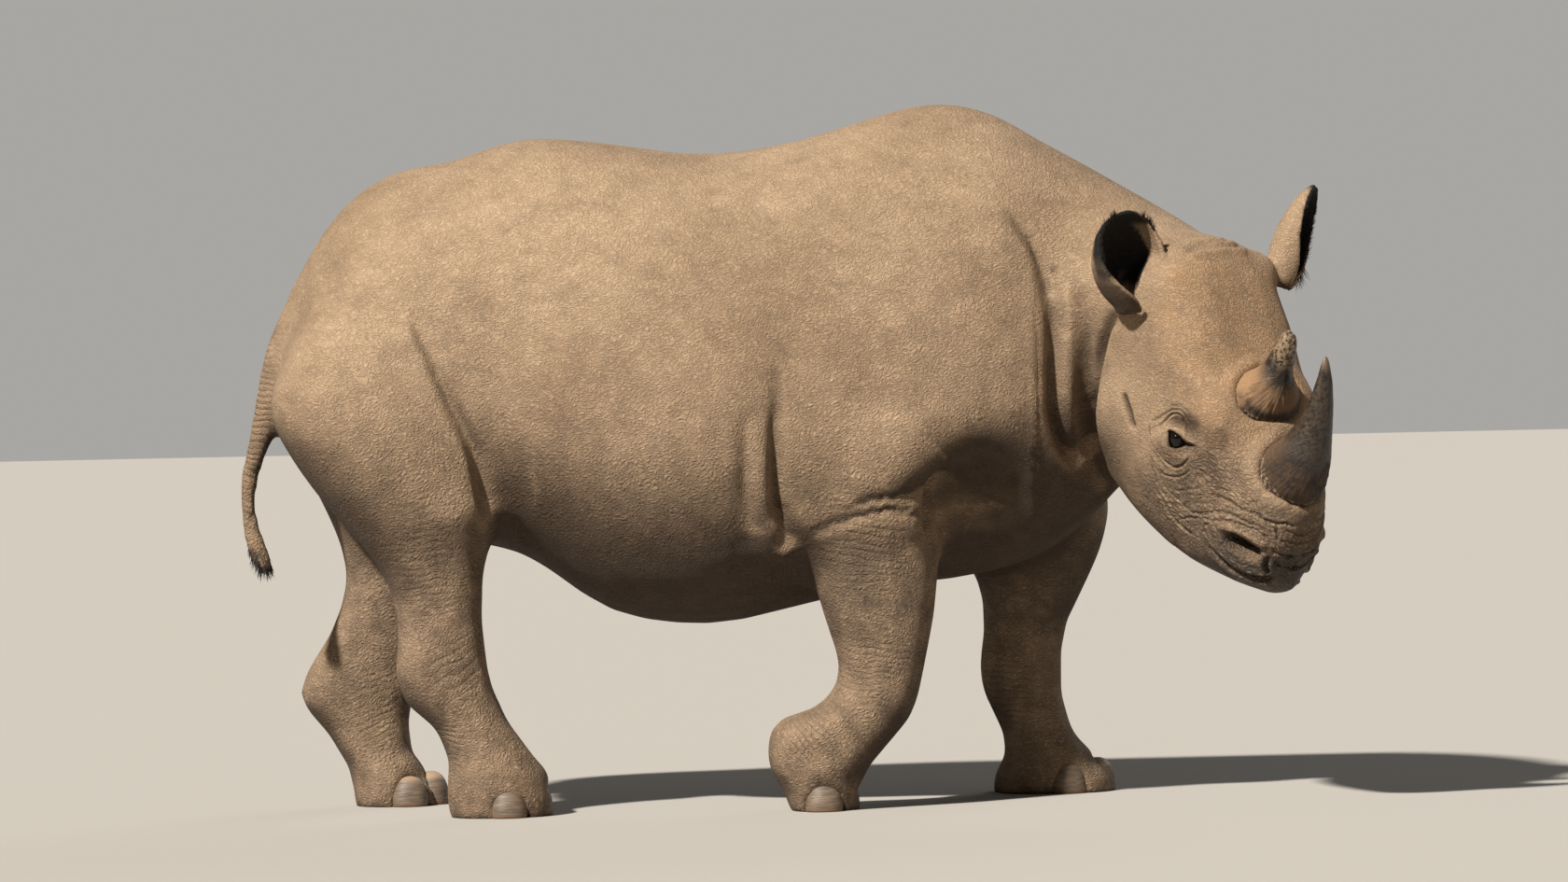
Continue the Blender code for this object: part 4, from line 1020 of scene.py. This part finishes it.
def horn_material(name, shaft_from, shaft_to, dusty):
    """Fibrous keratin; dusty is how far the hide's dust covers the base on the brow's side."""
    material, w, shader = plain_material(name)
    spot = w.node("ShaderNodeTexCoord").outputs["Object"]
    rise, ahead = w.attribute("rise"), w.attribute("ahead")
    thread = w.node("ShaderNodeCombineXYZ", None, X=w.times(ahead, 5.0),
                    Y=w.times(w.attribute("aside"), 5.0), Z=w.times(rise, 9.0)).outputs[0]
    strand = w.noise(thread, 2.2, 5.0, 0.6)
    crust = w.noise(spot, 120.0, 5.0, 0.7)
    blotch = w.noise(spot, 34.0, 4.0, 0.6)
    uneven = w.math("MULTIPLY_ADD", w.math("SUBTRACT", blotch, 0.5), 0.10, rise)
    up_shaft = w.step(uneven, shaft_from, shaft_to)
    base = w.mix(w.step(blotch, 0.36, 0.62), colour(0.125, 0.085, 0.048), colour(0.245, 0.172, 0.104))
    base = w.mix(w.step(crust, 0.54, 0.68, 0.0, 0.55), base, colour(0.390, 0.290, 0.185))
    shaft = w.mix(w.step(strand, 0.35, 0.65), colour(0.070, 0.050, 0.032), colour(0.135, 0.100, 0.064))
    worn = w.times(w.step(w.math("ADD", rise, w.times(blotch, 0.06)), 0.115, 0.160), dusty)
    shaft = w.mix(w.times(worn, w.step(crust, 0.42, 0.54)), shaft, colour(0.520, 0.430, 0.330))
    body = w.mix(up_shaft, base, shaft)
    body = w.mix(w.step(rise, 0.236, 0.252, 0.0, 0.7), body, colour(0.50, 0.43, 0.35))
    behind = w.math("MULTIPLY_ADD", w.math("SUBTRACT", blotch, 0.5), 1.6, ahead)
    dust = w.times(w.step(behind, 0.5 * dusty - 0.15, 0.5 * dusty - 0.85),
                  w.step(rise, shaft_to, shaft_from * 0.6))
    if dusty > 0.5:
        dust = w.most(dust, w.times(w.step(rise, 0.020, 0.036), w.step(rise, 0.080, 0.055, 0.0, 0.6)))
    dust = w.times(dust, w.step(crust, 0.32, 0.50, 0.35 + 0.5 * dusty, 1.0))
    body = w.mix(w.times(dust, 0.10 + 0.85 * dusty), body, colour(0.570, 0.440, 0.315))
    pale = w.times(w.step(rise, 0.016, 0.004), w.step(crust, 0.50, 0.56))
    body = w.mix(w.times(pale, 0.8), body, colour(0.66, 0.57, 0.46))
    w.put(shader.inputs["Base Color"], body)
    w.put(shader.inputs["Roughness"], w.step(up_shaft, 0.0, 1.0, 0.85, 0.45))
    height = w.times(crust, w.step(up_shaft, 0.0, 1.0, 0.0040, 0.0008))
    height = w.math("MULTIPLY_ADD", strand, 0.0020, height)
    w.roughen(shader, height)
    return material


for name, start, end, dusty in (("front_horn", 0.050, 0.130, 0.15), ("rear_horn", 0.060, 0.090, 1.0)):
    horn = make_horn(name)
    horn.data.materials.append(horn_material(name + "_keratin", start, end, dusty))
    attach(horn, "root")
    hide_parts(name)

# ---- Eyes -----------------------------------------------------------------------------------------
# Dark brown, almost black, wet, with a wide pupil lying across.
for side in SIDES:
    bpy.ops.mesh.primitive_uv_sphere_add(segments=48, ring_count=32, radius=EYEBALL)
    eye = bpy.context.active_object
    eye.name = "eyeball_" + side
    q = points_of(eye)
    store(eye, "from_pupil", np.hypot(q[:, 0] * 0.8, q[:, 1] * 1.1) + 0.1 * (q[:, 2] < 0))
    q[:, 2] += 0.0015 * ramp(np.hypot(q[:, 0], q[:, 1]), 0.014, 0.007) * (q[:, 2] > 0)
    move_to(eye, q @ np.array(eye_axes[side]) + eye_centres[side])
    face_outwards(eye)
    bpy.ops.object.shade_smooth()
    material, w, shader = plain_material("wet_eye_" + side)
    near = w.attribute("from_pupil")
    iris = w.mix(w.step(near, 0.0050, 0.0070), colour(0.012, 0.010, 0.008), colour(0.070, 0.045, 0.030))
    iris = w.mix(w.step(near, 0.0110, 0.0135), iris, colour(0.045, 0.034, 0.028))
    w.put(shader.inputs["Base Color"], iris)
    shader.inputs["Roughness"].default_value = 0.08
    shader.inputs["Specular IOR Level"].default_value = 0.25
    shader.inputs["Coat Weight"].default_value = 0.15
    shader.inputs["Coat Roughness"].default_value = 0.03
    eye.data.materials.append(material)
    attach(eye, "root")
    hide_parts("eye_" + side)

# ---- Nails ----------------------------------------------------------------------------------------
# Three to a foot: broad hoof-like plates with a pale growing edge at the top.
nail_material, w, shader = plain_material("nail_keratin")
spot = w.node("ShaderNodeTexCoord").outputs["Object"]
tall = w.node("ShaderNodeSeparateXYZ", None, Vector=spot).outputs["Z"]
levels = w.node("ShaderNodeMapping", None, Vector=spot, Scale=(1.0, 1.0, 7.0)).outputs[0]
grain = w.noise(levels, 28.0, 5.0, 0.6)
body = w.mix(w.step(grain, 0.3, 0.7), colour(0.33, 0.275, 0.225), colour(0.46, 0.390, 0.320))
body = w.mix(w.step(tall, 0.052, 0.066), body, colour(0.60, 0.505, 0.410))
body = w.mix(w.step(tall, 0.014, 0.002), body, colour(0.40, 0.300, 0.215))
w.put(shader.inputs["Base Color"], body)
shader.inputs["Roughness"].default_value = 0.55
w.roughen(shader, w.times(grain, 0.002))
for node in [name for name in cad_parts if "nail" in name]:
    low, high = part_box(node)
    foot = node.rsplit("_", 1)[0]
    heart = (centre_of(foot + "_left") + centre_of(foot + "_right")) / 2
    middle = (Vector(low) + Vector(high)) / 2
    ahead = Vector((1, 0, 0))
    if not node.endswith("middle"):
        ahead = Vector((middle.x - heart.x + 0.010, middle.y - heart.y, 0)).normalized()
    aside = Vector((-ahead.y, ahead.x, 0))
    plate_half = 0.050 if node.endswith("middle") else 0.042
    bpy.ops.mesh.primitive_uv_sphere_add(segments=40, ring_count=28, radius=1.0)
    nail = bpy.context.active_object
    nail.name = node + "_plate"
    q = points_of(nail)
    r = np.sign(q) * np.abs(q) ** 0.88
    tall_half = high[2] - 0.012
    q = (np.outer(r[:, 0] * 0.040, ahead) + np.outer(r[:, 1] * plate_half, aside)
         + np.outer(r[:, 2] * tall_half, (0, 0, 1)))
    q += np.array([middle.x, middle.y, 0.012])
    q[:, 2] = np.clip(q[:, 2], 0.0005, None)
    move_to(nail, q)
    face_outwards(nail, merge=0.00005)
    bpy.ops.object.shade_smooth()
    nail.data.materials.append(nail_material)
    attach(nail, "root")
    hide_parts(node)

# ---- Hair of the ears and tail ---------------------------------------------------------------------
# Stiff black hair fringes the edges of the ears and tufts the end of the tail: solid tapered
# strands, rooted a little under the skin. Each strand's patch of the map lies at its root's place.
STRAND_RINGS = ((0.0, 1.0), (0.35, 0.85), (0.70, 0.55))     # share of the length and of the girth
EAR_STRANDS, EAR_WISPS, TAIL_STRANDS = 620, 60, 420
hair_material, w, shader = plain_material("black_hair")
shader.inputs["Base Color"].default_value = colour(0.060, 0.048, 0.038)
shader.inputs["Roughness"].default_value = 0.55
chance = np.random.default_rng(7)


def make_strands(name, strands):
    """Strands given as root, way, way they curl to, length, girth and place on the unwrapped skin."""
    verts, faces, places = [], [], []
    for root, way, curl, length, girth, place in strands:
        way, curl = Vector(way).normalized(), Vector(curl)
        side_a = way.orthogonal().normalized()
        side_b = way.cross(side_a)
        first = len(verts)
        for share, thickness in STRAND_RINGS:
            middle = Vector(root) + (way * share + curl * share * share) * length
            for k in range(3):
                angle = math.radians(120 * k)
                out = side_a * math.cos(angle) + side_b * math.sin(angle)
                verts.append(middle + out * girth * thickness)
        verts.append(Vector(root) + (way + curl) * length)
        for ring in (0, 3):
            for k in range(3):
                a, b = first + ring + k, first + ring + (k + 1) % 3
                faces.append((a, b, b + 3, a + 3))
        faces.append((first + 2, first + 1, first))
        for k in range(3):
            faces.append((first + 6 + k, first + 6 + (k + 1) % 3, first + 9))
        for number in range(10):
            places.append((place[0] + 0.003 * (number % 3) / 3, place[1] + 0.003 * (number // 3) / 3))
    mesh = bpy.data.meshes.new(name)
    mesh.from_pydata([tuple(v) for v in verts], [], faces)
    hair = bpy.data.objects.new(name, mesh)
    bpy.context.scene.collection.objects.link(hair)
    corners = np.empty(len(mesh.loops), dtype=np.int32)
    mesh.loops.foreach_get("vertex_index", corners)
    unwrap = mesh.uv_layers.new(name="OFBake")
    unwrap.data.foreach_set("uv", np.array(places, dtype=np.float32)[corners].ravel())
    make_active(hair)
    bpy.ops.object.shade_smooth()
    mesh.materials.append(hair_material)
    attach(hair, "root")
    return hair


for side in SIDES:
    length, base, up, front, across = ear_frame(side)
    strands = []
    for k in range(EAR_STRANDS):
        share = 0.30 + 0.70 * chance.random() ** 0.7
        inner_edge = chance.random() < 0.62 or share > 0.90
        turn = (-1 if side == "right" else 1) if inner_edge else (1 if side == "right" else -1)
        if share < (0.72 if not inner_edge else 0.58 if side == "right" else 0.0):
            continue
        turn *= 1.0 - 0.05 * chance.random()
        root = ear_point(side, share, turn)
        middle = base + up * (length * share)
        out = (root - middle).normalized()
        way = out * 0.40 + up * (0.45 + 0.9 * share * share) + front * 0.25
        way += Vector(chance.normal(0, 0.26, 3))
        long = (0.008 + 0.013 * chance.random() * (0.6 + 0.4 * share)) * (1.0 if side == "right" else 0.75)
        beyond = root.x + way.normalized().x * long * 1.15 - (cad_box[1][0] - 0.001)
        if beyond > 0:
            long *= max(0.0, 1 - beyond / (way.normalized().x * long * 1.15))
        if long > 0.003:
            strands.append((root - out * 0.002, way, up * 0.15, long, 0.0007,
                            (0.1 + 0.8 * share, 0.5 + 0.4 * turn)))
    # a few longer wisps hang from the foot of the far ear's opening
    for k in range(EAR_WISPS if side == "left" else 0):
        turn = (-1 if side == "right" else 1) * (0.80 + 0.20 * chance.random())
        share = 0.10 + 0.16 * chance.random()
        root = ear_point(side, share, turn)
        way = front * 0.9 - up * (0.5 + 0.5 * chance.random()) + Vector(chance.normal(0, 0.25, 3))
        strands.append((root, way, up * -0.25, 0.012 + 0.018 * chance.random(), 0.0006,
                        (0.1 + 0.8 * share, 0.5 + 0.4 * turn)))
    make_strands("ear_hair_" + side, strands)

low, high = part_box("tail_tip")
p = points_of(hide)
end_skin = p[(p[:, 0] < -1.10) & (p[:, 2] < high[2] + 0.01)]
tuft = []
for k in range(TAIL_STRANDS):
    share = chance.random()
    level = low[2] + 0.012 + (high[2] - low[2] - 0.012) * 0.75 * share
    angle = 2 * math.pi * chance.random()
    ring = end_skin[np.abs(end_skin[:, 2] - level) < 0.008]
    if len(ring) < 4:
        continue
    heart = ring.mean(axis=0)
    out = np.array([math.cos(angle), math.sin(angle), 0.0])
    root = ring[np.argmax((ring - heart) @ out - np.linalg.norm(np.cross(ring - heart, out), axis=1))]
    way = Vector(out * 0.22) + Vector((0.05, 0.0, -1.0)) + Vector(chance.normal(0, 0.12, 3))
    tuft.append((Vector(root) - Vector(out) * 0.002, way, (0.0, 0.0, -0.05),
                 0.012 + 0.016 * chance.random(), 0.0006,
                 (0.05 + 0.9 * share, 0.05 + 0.9 * angle / (2 * math.pi))))
make_strands("tail_hair", tuft)

# ---- Floor, light and camera ------------------------------------------------------------------------
# A plain pale studio floor, one high lamp from the near left, a faint broad one from behind, and
# soft light all round. The model stands in the middle of an empty studio.
bpy.ops.mesh.primitive_plane_add(size=60, location=(0, 0, 0))
floor = bpy.context.active_object
floor.name = "studio_floor"
floor_material, w, shader = plain_material("pale_floor")
shader.inputs["Base Color"].default_value = colour(0.66, 0.64, 0.61)
shader.inputs["Roughness"].default_value = 0.9
floor.data.materials.append(floor_material)

world = bpy.data.worlds.new("studio")
bpy.context.scene.world = world
world.use_nodes = True
world.node_tree.nodes["Background"].inputs["Color"].default_value = colour(0.90, 0.89, 0.87)
w = Wiring(world.node_tree)
seen_directly = w.node("ShaderNodeLightPath").outputs["Is Camera Ray"]
glow = w.math("MULTIPLY_ADD", seen_directly, 0.35, 0.15)
w.put(world.node_tree.nodes["Background"].inputs["Strength"], glow)


def add_lamp(name, place, aim, spread, strength, tint):
    """A far lamp whose light comes evenly from one way, its shadows softened by its spread."""
    lamp = bpy.data.lights.new(name, "SUN")
    lamp.angle = math.radians(spread)
    lamp.energy = strength
    lamp.color = tint
    thing = bpy.data.objects.new(name, lamp)
    thing.matrix_world = (Matrix.Translation(place)
                          @ (Vector(aim) - Vector(place)).to_track_quat("-Z", "Y").to_matrix().to_4x4())
    bpy.context.scene.collection.objects.link(thing)


add_lamp("back", (4.0, 7.0, 5.0), (0.0, 0.0, 0.8), 30.0, 0.45, (0.95, 0.97, 1.0))
add_lamp("key", (-4.6, -6.0, 7.4), (0.0, 0.0, 0.5), 3.0, 7.0, (1.0, 0.965, 0.905))

TARGET = Vector((0.0134, 0.147, 0.8046))
LENS_DISTANCE = 22.0
LENS_HEIGHT_ANGLE = math.radians(1.5)
PICTURE_ROLL = math.radians(1.2)
camera = bpy.data.cameras.new("camera")
camera.lens = 227.2
camera.sensor_width = 36.0
camera.clip_end = 200.0
viewer = bpy.data.objects.new("camera", camera)
way = Vector((0, -math.cos(LENS_HEIGHT_ANGLE), math.sin(LENS_HEIGHT_ANGLE)))
viewer.matrix_world = (Matrix.Translation(TARGET + way * LENS_DISTANCE)
                       @ Matrix.Rotation(math.pi / 2 - LENS_HEIGHT_ANGLE, 4, "X")
                       @ Matrix.Rotation(-PICTURE_ROLL, 4, "Z"))
bpy.context.scene.collection.objects.link(viewer)
bpy.context.scene.camera = viewer
bpy.context.scene.view_settings.view_transform = "Standard"
